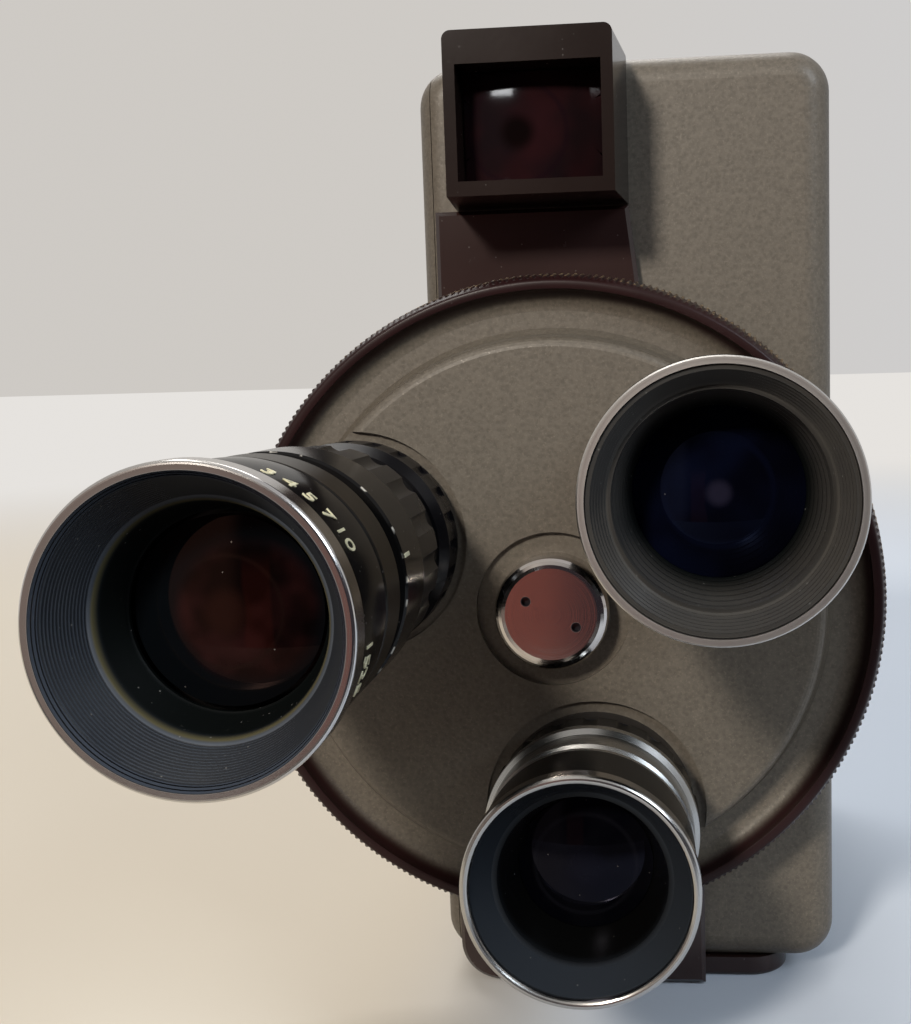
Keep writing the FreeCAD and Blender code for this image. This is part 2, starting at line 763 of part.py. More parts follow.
def make_turret():
    disc = turned("turret_disc", turret_left, f"-{rim_plane}", "turret_z", FRONT, [
        ("spindle_radius + running_gap", "-disc_back"), ("rim_radius - rim_wall", "-disc_back"),
        ("rim_radius - rim_wall", "-rim_cove"), ("plateau_radius + 1.2", "-rim_cove"),
        ("plateau_radius + 0.4", "-rim_cove / 2"),
        *arc("plateau_radius - plateau_round", "plateau_height - plateau_round", "plateau_round", 0, 90),
        ("spindle_radius + running_gap", "plateau_height"),
    ])
    hub = sketch_on(disc, "XY_Plane", "plateau_height")
    circle(hub, "0", "0", "hub_recess")
    cut(disc, hub, "recess_depth")
    seat = sketch_on(disc, "XY_Plane", "plateau_height")
    circle(seat, "lens_pitch * cos(lens_angle)", "lens_pitch * sin(lens_angle)", "recess_radius")
    around(disc, cut(disc, seat, "recess_depth"), 3)
    thread = sketch_on(disc, "XY_Plane", "plateau_height")
    circle(thread, "lens_pitch * cos(lens_angle)", "lens_pitch * sin(lens_angle)", "lens_thread + thread_gap")
    around(disc, cut(disc, thread, "plateau_height + disc_back + 1"), 3)
    dimple = sketch_on(disc, "XY_Plane", "-disc_back")
    circle(
        dimple, "dimple_pitch * cos(lens_angle + 60)", "dimple_pitch * sin(lens_angle + 60)", "dimple_radius"
    )
    around(disc, cut(disc, dimple, "dimple_depth", True), 3)

    rim = turned("turret_rim", turret_left, f"-{rim_plane}", "turret_z", FRONT, [
        ("rim_radius - rim_wall", "-rim_depth"), ("rim_radius + rim_taper", "-rim_depth"),
        *arc("rim_radius - 0.3", "-rim_chamfer", "rim_chamfer", 0, 90, 4),
        *arc("rim_radius - rim_wall", "0", "rim_cove", 0, -90, 6),
    ])

    cap = turned("hub_cap", turret_left, f"-{seat_plane}", "turret_z", FRONT, [
        ("hub_radius - hub_wall", "0"), ("hub_radius", "0"),
        *arc("hub_face", "hub_height - hub_radius + hub_face", "hub_radius - hub_face", 0, 90),
        ("0", "hub_height"),
        ("0", "hub_height - hub_roof"), ("hub_radius - hub_wall", "hub_height - hub_roof"),
    ])
    hole = sketch_on(cap, "XY_Plane", "hub_height")
    circle(hole, "spanner_pitch * cos(spanner_angle)", "spanner_pitch * sin(spanner_angle)", "spanner_radius")
    around(cap, cut(cap, hole, "hub_roof / 2"), 2)

    foot = "front_wall + plate_thickness"
    turned("turret_spindle", turret_left, "front_wall - front_reach", "turret_z", FRONT, [
        ("0", "0"), ("spindle_radius", "0"), ("spindle_radius", foot),
        ("spindle_flange", foot), ("spindle_flange", f"{foot} + spindle_flange_height"),
        ("spindle_radius", f"{foot} + spindle_flange_height"),
        ("spindle_radius", f"front_wall + {seat_plane} - front_reach + free_gap"),
        ("spindle_radius - 1", f"front_wall + {seat_plane} - front_reach + free_gap"),
        ("spindle_radius - 1", f"front_wall + {seat_plane} - front_reach + free_gap + nut_height"),
        ("0", f"front_wall + {seat_plane} - front_reach + free_gap + nut_height"),
    ])
    turned("spindle_nut", turret_left, f"-{seat_plane} - free_gap", "turret_z", FRONT, [
        ("spindle_radius - 1", "0"), ("nut_radius", "0"), ("nut_radius", "nut_height"),
        ("spindle_radius - 1", "nut_height"),
    ])
    tip = f"{rim_plane} - disc_back - front_reach - running_gap"
    turned("detent_plunger", turret_left, "-front_reach", "turret_z - dimple_pitch", FRONT, [
        ("0", "-front_wall - 3"), ("plunger_head", "-front_wall - 3"),
        ("plunger_head", "-front_wall - running_gap"),
        ("plunger_radius", "-front_wall - running_gap"), ("plunger_radius", f"{tip} - 0.8"),
        ("plunger_radius - 0.9", tip), ("0", tip),
    ])


def lens_place(turn_degrees):
    angle = f"(lens_angle + {turn_degrees})"
    return (
        f"lens_pitch * cos({angle}) - turret_x", f"-{seat_plane}", f"turret_z + lens_pitch * sin({angle})",
        FRONT
    )


def ring(label, where, inner, outer, low, high, bevel="0.5"):
    return turned(label, *where, [
        (inner, low), (f"{outer} - {bevel}", low), (outer, f"{low} + {bevel}"), (outer, f"{high} - {bevel}"),
        (f"{outer} - {bevel}", high), (inner, high),
    ])


def ribs(front, back, near, far, count):
    """Inner points of a stepped light baffle that narrows from one radius to another."""
    step = f"(({near}) - ({far})) / {count}"
    fall = f"(({front}) - ({back})) / {count}"
    points = []
    for k in range(count):
        height = f"({near}) - {k} * {step}"
        radius = f"({front}) - {k} * {fall}"
        points.append((radius, height))
        points.append((radius, f"{height} - 0.6 * {step}"))
    return points


def mount_nose(bore):
    """The threaded nose behind the seat."""
    return [
        (bore, "-nose_length"), ("lens_thread - 0.6", "-nose_length"), ("lens_thread", "0.6 - nose_length"),
        ("lens_thread", "0"),
    ]


def rear_glass(label, where, bore):
    radius = f"{bore} - glass_gap"
    back = dome(radius, "1.6 - nose_length", "-0.4")
    turned(label, *where, back[::-1] + dome(radius, "1.6 - nose_length + rear_glass_edge", "0.3"))


def make_telephoto():
    where = lens_place(120)
    iris_low = "tele_mount_height + free_gap"
    iris_high = f"({iris_low} + tele_iris_height)"
    focus_low = f"({iris_high} + free_gap)"
    focus_high = f"({focus_low} + tele_focus_height)"
    barrel_low = f"({focus_high} + free_gap)"
    waist_high = f"({barrel_low} + tele_waist_height)"
    mount = turned("tele_mount", *where, mount_nose("tele_core_bore") + [
        ("tele_seat", "0"), ("tele_mount_radius", "1.2"), ("tele_mount_radius", "tele_mount_height - 1.6"),
        ("tele_mount_radius - 1", "tele_mount_height"), ("tele_core", "tele_mount_height"),
        ("tele_core", "tele_core_height"), ("tele_core_bore", "tele_core_height"),
    ])
    flutes(mount, 24, "tele_mount_radius + 0.5", "0.9", "1.6", "tele_mount_height - 2")
    ring("tele_aperture_ring", where, "tele_core + running_gap", "tele_iris_radius", iris_low, iris_high)
    focus = ring(
        "tele_focus_ring", where, "tele_core + running_gap", "tele_focus_radius", focus_low, focus_high, "0.8"
    )
    flutes(focus, 18, "tele_focus_radius + 0.9", "1.5", f"{focus_low} - 1", f"{focus_high} - 2.2")
    rim_low = "(tele_length - tele_rim_height)"
    glass_seat = f"({rim_low} - tele_throat_depth)"
    glass_top = f"({glass_seat} + tele_glass_edge)"
    glass_hole = "tele_throat_radius + baffle_wall + glass_gap"
    turned("tele_barrel", *where, [
        ("tele_core + running_gap", barrel_low), ("tele_waist_radius", barrel_low),
        ("tele_waist_radius", f"{waist_high} - 0.8"), ("tele_waist_radius + 1", waist_high),
        ("tele_barrel_radius - 0.4", waist_high), ("tele_barrel_radius", f"{waist_high} + 0.5"),
        ("tele_barrel_radius", f"{waist_high} + 6"), ("tele_barrel_radius - 0.5", f"{waist_high} + 6.4"),
        ("tele_barrel_radius", f"{waist_high} + 6.8"), ("tele_rim_radius - 0.4", rim_low),
        ("tele_barrel_radius - tele_barrel_wall + 0.4", rim_low), (glass_hole, glass_top),
        (glass_hole, glass_seat), ("tele_glass_radius - 1", glass_seat),
        ("tele_glass_radius - 1", "tele_core_height + 1"),
        ("tele_core + running_gap", "tele_core_height + 1"),
    ])
    turned("tele_rim", *where, [
        ("tele_rim_bore + 0.1", rim_low), ("tele_rim_radius - 0.3", rim_low),
        ("tele_rim_radius", f"{rim_low} + 0.4"),
        *arc("tele_rim_radius - 0.4", "tele_length - 0.4", "0.4", 0, 90, 4),
        ("tele_rim_bore", "tele_length"), ("tele_rim_bore - 0.5", "tele_length - 0.9"),
        ("tele_rim_bore + 0.1", "tele_length - 0.95"),
    ])
    baffle = new_body("tele_baffle", *where)
    mouth = "tele_rim_bore - 0.6"
    collar = "(tele_length - tele_collar_depth)"
    revolve(baffle, [
        ("tele_throat_radius", glass_top), ("tele_throat_radius + baffle_wall", glass_top),
        (f"{mouth} + baffle_wall", "tele_length - 1"),
        *ribs(mouth, "tele_collar_radius + 0.4", "tele_length - 1", collar, int(size("tele_grooves"))),
        ("tele_collar_radius + 0.4", collar), ("tele_collar_radius", f"{collar} - 0.2"),
        ("tele_throat_radius + 0.3", f"{glass_top} + 0.7"), ("tele_throat_radius", f"{glass_top} + 0.5"),
    ])
    turned("tele_glass", *where, [
        ("0", glass_seat), ("tele_glass_radius", glass_seat),
        *dome("tele_glass_radius", glass_top, "tele_glass_crown"),
    ])
    rear_glass("tele_rear_glass", where, "tele_core_bore")


def make_wide():
    where = lens_place(0)
    iris_low = "wide_mount_height + free_gap"
    iris_high = f"({iris_low} + wide_iris_height)"
    barrel_low = f"({iris_high} + free_gap)"
    rim_low = "(wide_length - wide_rim_height)"
    step = f"({rim_low} - wide_step_depth)"
    throat = f"({step} - wide_throat_depth)"
    glass_hole = "wide_throat_radius + 2 * baffle_wall + glass_gap"
    turned("wide_mount", *where, mount_nose("wide_core_bore") + [
        ("wide_seat", "0"), ("wide_seat", "wide_mount_height - 0.6"),
        ("wide_seat - 0.6", "wide_mount_height"),
        ("wide_core", "wide_mount_height"), ("wide_core", "wide_core_height"),
        ("wide_core_bore", "wide_core_height"),
    ])
    iris = ring(
        "wide_aperture_ring", where, "wide_core + running_gap", "wide_iris_radius", iris_low, iris_high
    )
    flutes(iris, 24, "wide_iris_radius + 0.5", "0.9", f"{iris_low} - 1", f"{iris_high} - 2")
    turned("wide_barrel", *where, [
        ("wide_core", barrel_low), ("wide_neck_radius", barrel_low),
        ("wide_neck_radius", f"{barrel_low} + 5"),
        ("wide_neck_radius + 0.8", f"{barrel_low} + 5.8"), ("wide_barrel_radius", f"{throat} + 1.5"),
        ("wide_barrel_radius", rim_low), ("wide_barrel_radius - wide_barrel_wall", rim_low),
        ("wide_step + 2 * baffle_wall + glass_gap", step), (glass_hole, f"{throat} + 1.4"),
        (glass_hole, throat), ("wide_throat_radius - 0.8", throat),
        ("wide_throat_radius - 0.8", "wide_core_height"), ("wide_core", "wide_core_height"),
    ])
    turned("wide_rim", *where, [
        ("wide_rim_bore - 0.02", rim_low), ("wide_rim_radius", rim_low),
        ("wide_rim_radius", "wide_length - 0.2"),
        ("wide_rim_radius - 0.15", "wide_length"), ("wide_rim_bore", "wide_length"),
    ])
    mouth = "wide_rim_bore - 0.55"
    baffle = new_body("wide_baffle", *where)
    revolve(baffle, [
        ("wide_throat_radius", f"{throat} + 1.4"), ("wide_throat_radius + baffle_wall", f"{throat} + 1.4"),
        ("wide_step + baffle_wall", f"{step} - 0.6"), (f"{mouth} + baffle_wall", "wide_length - 0.35"),
        *ribs(mouth, "wide_step", "wide_length - 0.35", step, 6),
        ("wide_step", step), ("wide_step - 0.4", f"{step} + 0.1"),
        *ribs("wide_step - 0.55", "wide_throat_radius", f"{step} - 0.4", f"{throat} + 1.4", 6),
    ])
    turned("wide_glass", *where, [
        ("0", throat), ("wide_throat_radius", throat),
        *dome("wide_throat_radius", f"{throat} + 1.2", "wide_glass_crown"),
    ])


def make_normal():
    where = lens_place(240)
    iris_low = "normal_mount_height + free_gap"
    iris_high = f"({iris_low} + normal_iris_height)"
    barrel_low = f"({iris_high} + free_gap)"
    rim_low = "(normal_length - normal_rim_height)"
    throat = f"({rim_low} - normal_throat_depth)"
    sleeve = "normal_length - 0.95"
    turned("normal_mount", *where, mount_nose("normal_core_bore") + [
        ("normal_seat", "0"), ("normal_seat", "normal_mount_height - 0.6"),
        ("normal_seat - 0.6", "normal_mount_height"), ("normal_core", "normal_mount_height"),
        ("normal_core", "normal_core_height"), ("normal_core_bore", "normal_core_height"),
    ])
    iris = ring(
        "normal_aperture_ring", where, "normal_core + running_gap", "normal_iris_radius", iris_low,
        iris_high, "0.6"
    )
    flutes(iris, 20, "normal_iris_radius + 0.8", "1.3", f"{iris_low} - 1", f"{iris_high} - 2")
    turned("normal_barrel", *where, [
        ("normal_core", barrel_low), ("normal_ring_radius", barrel_low),
        ("normal_ring_radius", f"{barrel_low} + 4"), ("normal_ring_radius - 0.7", f"{barrel_low} + 4.4"),
        ("normal_ring_radius - 0.7", f"{barrel_low} + 5.4"), ("normal_ring_radius", f"{barrel_low} + 5.8"),
        ("normal_rim_radius - 0.3", rim_low), ("normal_rim_bore - 0.15", rim_low),
        ("normal_rim_bore - 0.15", sleeve), ("normal_rim_bore - 0.5", sleeve),
        ("normal_cone_radius", f"{rim_low} - 1.6"), ("normal_cone_radius - 0.6", f"{rim_low} - 1.7"),
        ("normal_throat_radius", f"{throat} + 0.8"), ("normal_throat_radius", throat),
        ("normal_throat_radius - 0.8", throat),
        ("normal_throat_radius - 0.8", "normal_core_height"), ("normal_core", "normal_core_height"),
    ])
    turned("normal_rim", *where, [
        ("normal_rim_bore - 0.1", rim_low), ("normal_rim_radius - 0.2", rim_low),
        ("normal_rim_radius", f"{rim_low} + 0.3"),
        *arc(
            "normal_rim_radius - normal_rim_round", "normal_length - normal_rim_round", "normal_rim_round",
            0, 180, 8
        ),
        ("normal_rim_radius - 2 * normal_rim_round", "normal_length - 0.9"),
        ("normal_rim_bore - 0.1", "normal_length - 0.9"),
    ])
    turned("normal_glass", *where, [
        ("0", throat), ("normal_throat_radius - glass_gap", throat),
        *dome("normal_throat_radius - glass_gap", f"{throat} + 0.8", "normal_glass_crown"),
    ])


def make_gate():
    gate = new_body("gate_plate", "0", f"-{film_plane}", "0", FRONT)
    left = f"-{cavity_left} + free_gap + door_lip"
    body = sketch_on(gate)
    rectangle(body, left, "gate_low", "plate_x - free_gap", "gate_high")
    pad(gate, body, "gate_thickness")
    window = sketch_on(gate)
    rectangle(
        window, f"{turret_left} - gate_window_width / 2", f"{lens_high} - gate_window_height / 2",
        f"{turret_left} + gate_window_width / 2", f"{lens_high} + gate_window_height / 2"
    )
    cut(gate, window)
    slot = sketch_on(gate)
    edge = f"-{film_middle} + film_width / 2"
    rectangle(
        slot, f"{edge} - 1.8", f"{wheel_z} - claw_travel - 2", f"{edge} - 0.2", f"{wheel_z} + claw_travel + 2"
    )
    cut(gate, slot)
    for low in ("gate_low", "gate_high - gate_foot"):
        foot = sketch_on(gate, "XY_Plane", "gate_thickness")
        rectangle(foot, left, low, f"{left} + gate_foot", f"{low} + gate_foot")
        pad(gate, foot, f"front_reach - front_wall - {film_plane} - gate_thickness")

    pressure = new_body("pressure_plate", "0", f"-{film_plane} + pressure_gap", "0", FRONT)
    sketch = sketch_on(pressure)
    rectangle(
        sketch, f"-{film_middle} - film_width / 2", f"{lens_high} - pressure_half_height",
        f"-{film_middle} + film_width / 2 - 0.5", f"{lens_high} + pressure_half_height"
    )
    pad(pressure, sketch, "pressure_thickness", True)
    soften(pressure, along_depth, "pressure_thickness")

    spring = new_body(
        "pressure_spring", "plate_x", f"-{film_plane} + pressure_gap + pressure_thickness", lens_high, LEFT
    )
    strip = sketch_on(spring)
    gauge = "spring_thickness"
    outline(strip, [
        ("-7", gauge), ("0", "0.05"), ("7", gauge), ("7", "spring_reach"),
        ("6.4", "spring_reach"), ("6.4", f"{gauge} * 2"), ("0", f"0.05 + {gauge}"), ("-6.4", f"{gauge} * 2"),
        ("-6.4", "spring_reach"), ("-7", "spring_reach"),
    ])
    pad(spring, strip, f"{film_middle} + plate_x + 3")

    claw = new_body("pulldown_claw", "0", f"-{film_plane} - gate_thickness - 0.1", wheel_z, FRONT)
    arm = sketch_on(claw)
    rectangle(arm, f"{edge} - 1.6", "-3", f"{shaft_x} + 3", "3")
    pad(claw, arm, "claw_gauge")
    eye = sketch_on(claw)
    rectangle(
        eye, f"{shaft_x} - shaft_radius - free_gap", "-claw_travel - shaft_radius - free_gap",
        f"{shaft_x} + shaft_radius + free_gap", "claw_travel + shaft_radius + free_gap"
    )
    cut(claw, eye)
    tooth = sketch_on(claw)
    rectangle(tooth, f"{edge} - 1.5", "-0.6", f"{edge} - 0.5", "0.6")
    pad(claw, tooth, "gate_thickness + 0.2", True)


def make_spools():
    spool_left = "(plate_x - free_gap)"
    for label, height in (("supply_spool", supply_z), ("takeup_spool", takeup_z)):
        spool = turned(label, spool_left, "spool_y", height, LEFT, [
            ("spool_bore", "0"), ("spool_radius", "0"), ("spool_radius", "spool_flange"),
            ("spool_hub", "spool_flange"), ("spool_hub", "spool_width - spool_flange"),
            ("spool_radius", "spool_width - spool_flange"), ("spool_radius", "spool_width"),
            ("spool_bore", "spool_width"), ("spool_bore", "spool_width - spool_flange"),
            ("spool_hub - spool_hub_wall", "spool_width - spool_flange"),
            ("spool_hub - spool_hub_wall", "spool_flange"), ("spool_bore", "spool_flange"),
        ])
        window = sketch_on(spool)
        circle(window, "spool_window_pitch", "0", "spool_window")
        around(spool, cut(spool, window), 3)
    turned("supply_spindle", "plate_x", "spool_y", supply_z, LEFT, [
        ("0", "0"), ("spool_bore - running_gap", "0"), ("spool_bore - running_gap", "spindle_length - 1"),
        ("spool_bore - 1", "spindle_length"), ("0", "spindle_length"),
    ])
    guides = new_body("film_guides", "plate_x", "guide_y", "0", LEFT)
    for height in ("guide_low", "guide_high"):
        post = sketch_on(guides)
        circle(post, height, "0", "guide_radius")
        pad(guides, post, f"{cavity_left} + plate_x - door_lip - free_gap")
        for lift in ("free_gap", f"{film_middle} + plate_x + film_width / 2 + free_gap"):
            flange = sketch_on(guides, "XY_Plane", lift)
            circle(flange, height, "0", "guide_flange")
            pad(guides, flange, "0.6")


def tooth_wheel(teeth, width, lead):
    """A spur wheel about Z; a tooth's middle lies at the angle lead, in degrees."""
    module = size("tooth_module")
    pitch = module * teeth / 2
    tip = pitch + module * 0.85
    root = pitch - module * 1.2
    step = 2 * math.pi / teeth
    points = []
    for k in range(int(teeth)):
        middle = math.radians(lead) + k * step
        for radius, share in ((root, -0.30), (tip, -0.13), (tip, 0.13), (root, 0.30)):
            angle = middle + share * step
            points.append(V(radius * math.cos(angle), radius * math.sin(angle), 0))
    face = Part.Face(Part.makePolygon(points + points[:1]))
    return face.extrude(V(0, 0, width))


def mesh_lead(own_teeth, other_teeth, other_lead, bearing):
    """The lead that puts a gap of this wheel on the other wheel's tooth line.

    bearing is the direction, in degrees, from the other wheel's centre to this one's.
    """
    other_step = 360 / other_teeth
    offset = (bearing - other_lead) % other_step
    gap = bearing + 180 + offset * other_teeth / own_teeth
    return gap + 180 / own_teeth


def rod(radius, low, high):
    return Part.makeCylinder(radius, high - low, V(0, 0, low))


def make_movement():
    width = size("gear_width")
    gap = size("free_gap")
    run = size("running_gap")
    plate_right = size("plate_x") + size("plate_gauge")
    gear_left = plate_right + gap
    bridge = size("bridge_x")
    drum_low = width + gap
    drum_high = drum_low + size("drum_length")
    drum_lead = 0.0

    drum = tooth_wheel(size("drum_teeth"), width, drum_lead)
    drum = drum.fuse(rod(size("drum_radius") - size("drum_step"), 0, drum_low))
    drum = drum.fuse(rod(size("drum_radius"), drum_low, drum_high))
    drum_face = drum_high - size("drum_hollow")
    rim = rod(size("drum_radius") - size("drum_wall"), drum_face, drum_high)
    rim = rim.cut(rod(size("drum_hub"), drum_face, drum_high))
    drum = drum.cut(rim).cut(rod(size("arbor_radius") + run, 0, drum_high))
    solid("spring_drum", drum, gear_x, drum_y, drum_z, RIGHT)

    bearing = 180 - 90 + size("wheel_angle")
    wheel_lead = mesh_lead(size("wheel_teeth"), size("drum_teeth"), drum_lead, bearing)
    wheel = tooth_wheel(size("wheel_teeth"), width, wheel_lead)
    pinion_x = size("pinion_shift") + size("plate_x") - gear_left
    module = size("tooth_module")
    pinion_pitch = module * size("pinion_teeth") / 2
    crown_low = pinion_x + pinion_pitch - module * 0.75
    crown_base = pinion_x + pinion_pitch + module * 1.1
    crown_radius = module * size("wheel_teeth") / 2
    wheel = wheel.fuse(rod(1.7, 0, crown_base + 1.2))
    wheel = wheel.fuse(rod(crown_radius + 0.8, crown_base, crown_base + 1.2))
    tooth = module * math.pi * 0.20
    block = Part.makeBox(1.6, 2 * tooth, crown_base - crown_low, V(crown_radius - 0.8, -tooth, crown_low))
    for k in range(int(size("wheel_teeth"))):
        crown = block.copy()
        crown.rotate(V(0, 0, 0), V(0, 0, 1), 180 + k * 360 / size("wheel_teeth"))
        wheel = wheel.fuse(crown)
    wheel = wheel.removeSplitter().cut(rod(size("shaft_radius") + run, 0, crown_base + 2))
    solid("transfer_wheel", wheel, gear_x, wheel_y, wheel_z, RIGHT)

    governor_bearing = 90 - size("governor_angle")
    lead = mesh_lead(size("governor_teeth"), size("drum_teeth"), drum_lead, governor_bearing)
    governor = tooth_wheel(size("governor_teeth"), width, lead)
    length = bridge - gear_left - gap
    governor = governor.fuse(rod(size("shaft_radius"), -gap - size("plate_gauge"), bridge - gear_left + 1.2))
    governor = governor.fuse(rod(1.6, 0, length))
    governor = governor.fuse(rod(size("governor_radius"), length - 1.8, length))
    for side in (0, 180):
        weight = Part.makeCylinder(2, 1.4, V(size("governor_radius") - 2.6, 0, length - 3.2))
        weight.rotate(V(0, 0, 0), V(0, 0, 1), side)
        governor = governor.fuse(weight)
    solid(
        "governor", governor, gear_x, f"{drum_y} + {governor_reach} * sin(governor_angle)",
        f"{drum_z} + {governor_reach} * cos(governor_angle)", RIGHT
    )

    takeup_bearing = -90 + size("drum_angle")
    lead = mesh_lead(size("takeup_teeth"), size("drum_teeth"), drum_lead, takeup_bearing)
    takeup = tooth_wheel(size("takeup_teeth"), width, lead)
    stub = size("plate_gauge") + gap
    takeup = takeup.fuse(rod(size("spool_bore") - run, -stub - size("spindle_length"), width))
    takeup = takeup.fuse(rod(2.0, width, width + 1.6))
    solid("takeup_spindle", takeup, gear_x, "spool_y", takeup_z, RIGHT)

    arbor = rod(size("arbor_radius"), -gap - size("plate_gauge"), size("body_width") / 2 - gear_left - 0.1)
    arbor = arbor.fuse(rod(size("key_stem"), size("bridge_x") + size("bridge_gauge") + gap - gear_left,
                           size("body_width") / 2 - gear_left + size("key_lift")))
    solid("winding_arbor", arbor, gear_x, drum_y, drum_z, RIGHT)

    points = []
    count = int(size("ratchet_teeth"))
    for k in range(count):
        for radius, share in ((size("ratchet_radius") - 1.2, 0.0), (size("ratchet_radius"), 0.85)):
            angle = 2 * math.pi * (k + share) / count
            points.append(V(radius * math.cos(angle), radius * math.sin(angle), 0))
    ratchet = Part.Face(Part.makePolygon(points + points[:1])).extrude(V(0, 0, size("ratchet_width")))
    ratchet = ratchet.cut(rod(size("arbor_radius"), 0, size("ratchet_width")))
    solid("ratchet_wheel", ratchet, "bridge_x - free_gap - ratchet_width", drum_y, drum_z, RIGHT)

    make_shutter()


def make_shutter():
    """The shutter disc, its shaft and its pinion, about Y; Z of the shape points to the front."""
    film = size("front_reach") + size("rim_front") + size("plateau_height") - size("recess_depth")
    film -= size("lens_register")
    wall = size("front_reach") - size("front_wall")
    gap = size("free_gap")
    module = size("tooth_module")
    crown_radius = module * size("wheel_teeth") / 2
    reach = size("tooth_module") * (size("drum_teeth") + size("takeup_teeth")) / 2 + size("mesh_gap")
    middle_y = size("spool_y") - reach * math.sin(math.radians(size("drum_angle")))
    middle_z = size("base_height") + size("floor_wall") + size("spool_floor") + size("spool_radius")
    middle_z += reach * math.cos(math.radians(size("drum_angle")))
    reach = module * (size("drum_teeth") + size("wheel_teeth")) / 2 + size("mesh_gap")
    middle_y -= reach * math.sin(math.radians(size("wheel_angle")))
    middle_z += reach * math.cos(math.radians(size("wheel_angle")))
    across = -size("turret_x") - (size("plate_x") + size("pinion_shift"))
    rise = size("turret_z") + size("lens_pitch") - middle_z
    radius = math.hypot(across, rise) + size("shutter_margin")
    disc_front = wall - gap
    shutter = rod(radius, disc_front - size("shutter_thickness"), disc_front)
    opening = math.degrees(math.atan2(rise, across)) - size("shutter_opening") / 2
    wedge = Part.makeCylinder(radius + 1, 4, V(0, 0, disc_front - 2), V(0, 0, 1), size("shutter_opening"))
    wedge.rotate(V(0, 0, 0), V(0, 0, 1), opening)
    shutter = shutter.cut(wedge.cut(rod(3.2, disc_front - 3, disc_front + 3)))
    mesh = crown_radius - middle_y
    pinion = tooth_wheel(size("pinion_teeth"), 1.6, 180 / size("pinion_teeth"))
    pinion.translate(V(0, 0, mesh - 0.8))
    shutter = shutter.fuse(pinion)
    shutter = shutter.fuse(rod(size("shaft_radius"), mesh - 1.4, wall + size("front_wall") / 2))
    solid("shutter", shutter, shaft_x, "0", wheel_z, FRONT)


def make_plates():
    plate = new_body("mechanism_plate", "plate_x", "0", "0", RIGHT)
    sketch = sketch_on(plate)
    tongue_low = f"{wheel_z} - 5"
    tongue_high = f"{wheel_z} + 5"
    front = f"-{film_plane} + pressure_gap + 2"
    tongue = f"-{film_plane} - 0.4"
    outline(sketch, [
        (front, "plate_foot"), ("back_reach - back_wall - 0.2", "plate_foot"),
        ("back_reach - back_wall - 0.2", "plate_head"), (front, "plate_head"), (front, tongue_high),
        (tongue, tongue_high), (tongue, tongue_low), (front, tongue_low),
    ])
    pad(plate, sketch, "plate_gauge")
    holes = sketch_on(plate)
    circle(holes, drum_y, drum_z, "arbor_radius + running_gap")
    circle(holes, "spool_y", takeup_z, "spool_bore")
    circle(holes, f"{drum_y} + {governor_reach} * sin(governor_angle)",
           f"{drum_z} + {governor_reach} * cos(governor_angle)", "shaft_radius + running_gap")
    cut(plate, holes)
    bearing = sketch_on(plate)
    rectangle(bearing, tongue, f"{wheel_z} - 2.2", f"{tongue} + 2", f"{wheel_z} + 2.2")
    pad(plate, bearing, "pinion_shift + 1.8")
    bore = sketch_on(plate, "YZ_Plane")
    circle(bore, wheel_z, "pinion_shift", "shaft_radius + running_gap")
    cut(plate, bore)


def make_bridge():
    bridge = new_body("bridge_plate", "bridge_x", "0", "0", RIGHT)
    sketch = sketch_on(bridge)
    rectangle(sketch, "bridge_front", "bridge_low", "bridge_back", "bridge_head")
    pad(bridge, sketch, "bridge_gauge")
    soften(bridge, along_depth, "pillar_radius + 1")
    holes = sketch_on(bridge)
    circle(holes, drum_y, drum_z, "arbor_radius + running_gap")
    circle(holes, f"{drum_y} + {governor_reach} * sin(governor_angle)",
           f"{drum_z} + {governor_reach} * cos(governor_angle)", "shaft_radius + running_gap")
    cut(bridge, holes)
    for across in ("bridge_front + pillar_inset", "bridge_back - pillar_inset"):
        for height in ("bridge_low + pillar_inset", "bridge_head - pillar_inset"):
            pillar = sketch_on(bridge)
            circle(pillar, across, height, "pillar_radius")
            pad(bridge, pillar, "bridge_x - plate_x - plate_gauge", True)
    turned("wheel_arbor", "plate_x + plate_gauge", wheel_y, wheel_z, RIGHT, [
        ("0", "0"), ("shaft_radius", "0"), ("shaft_radius", "bridge_x - plate_x - plate_gauge"),
        ("0", "bridge_x - plate_x - plate_gauge"),
    ])


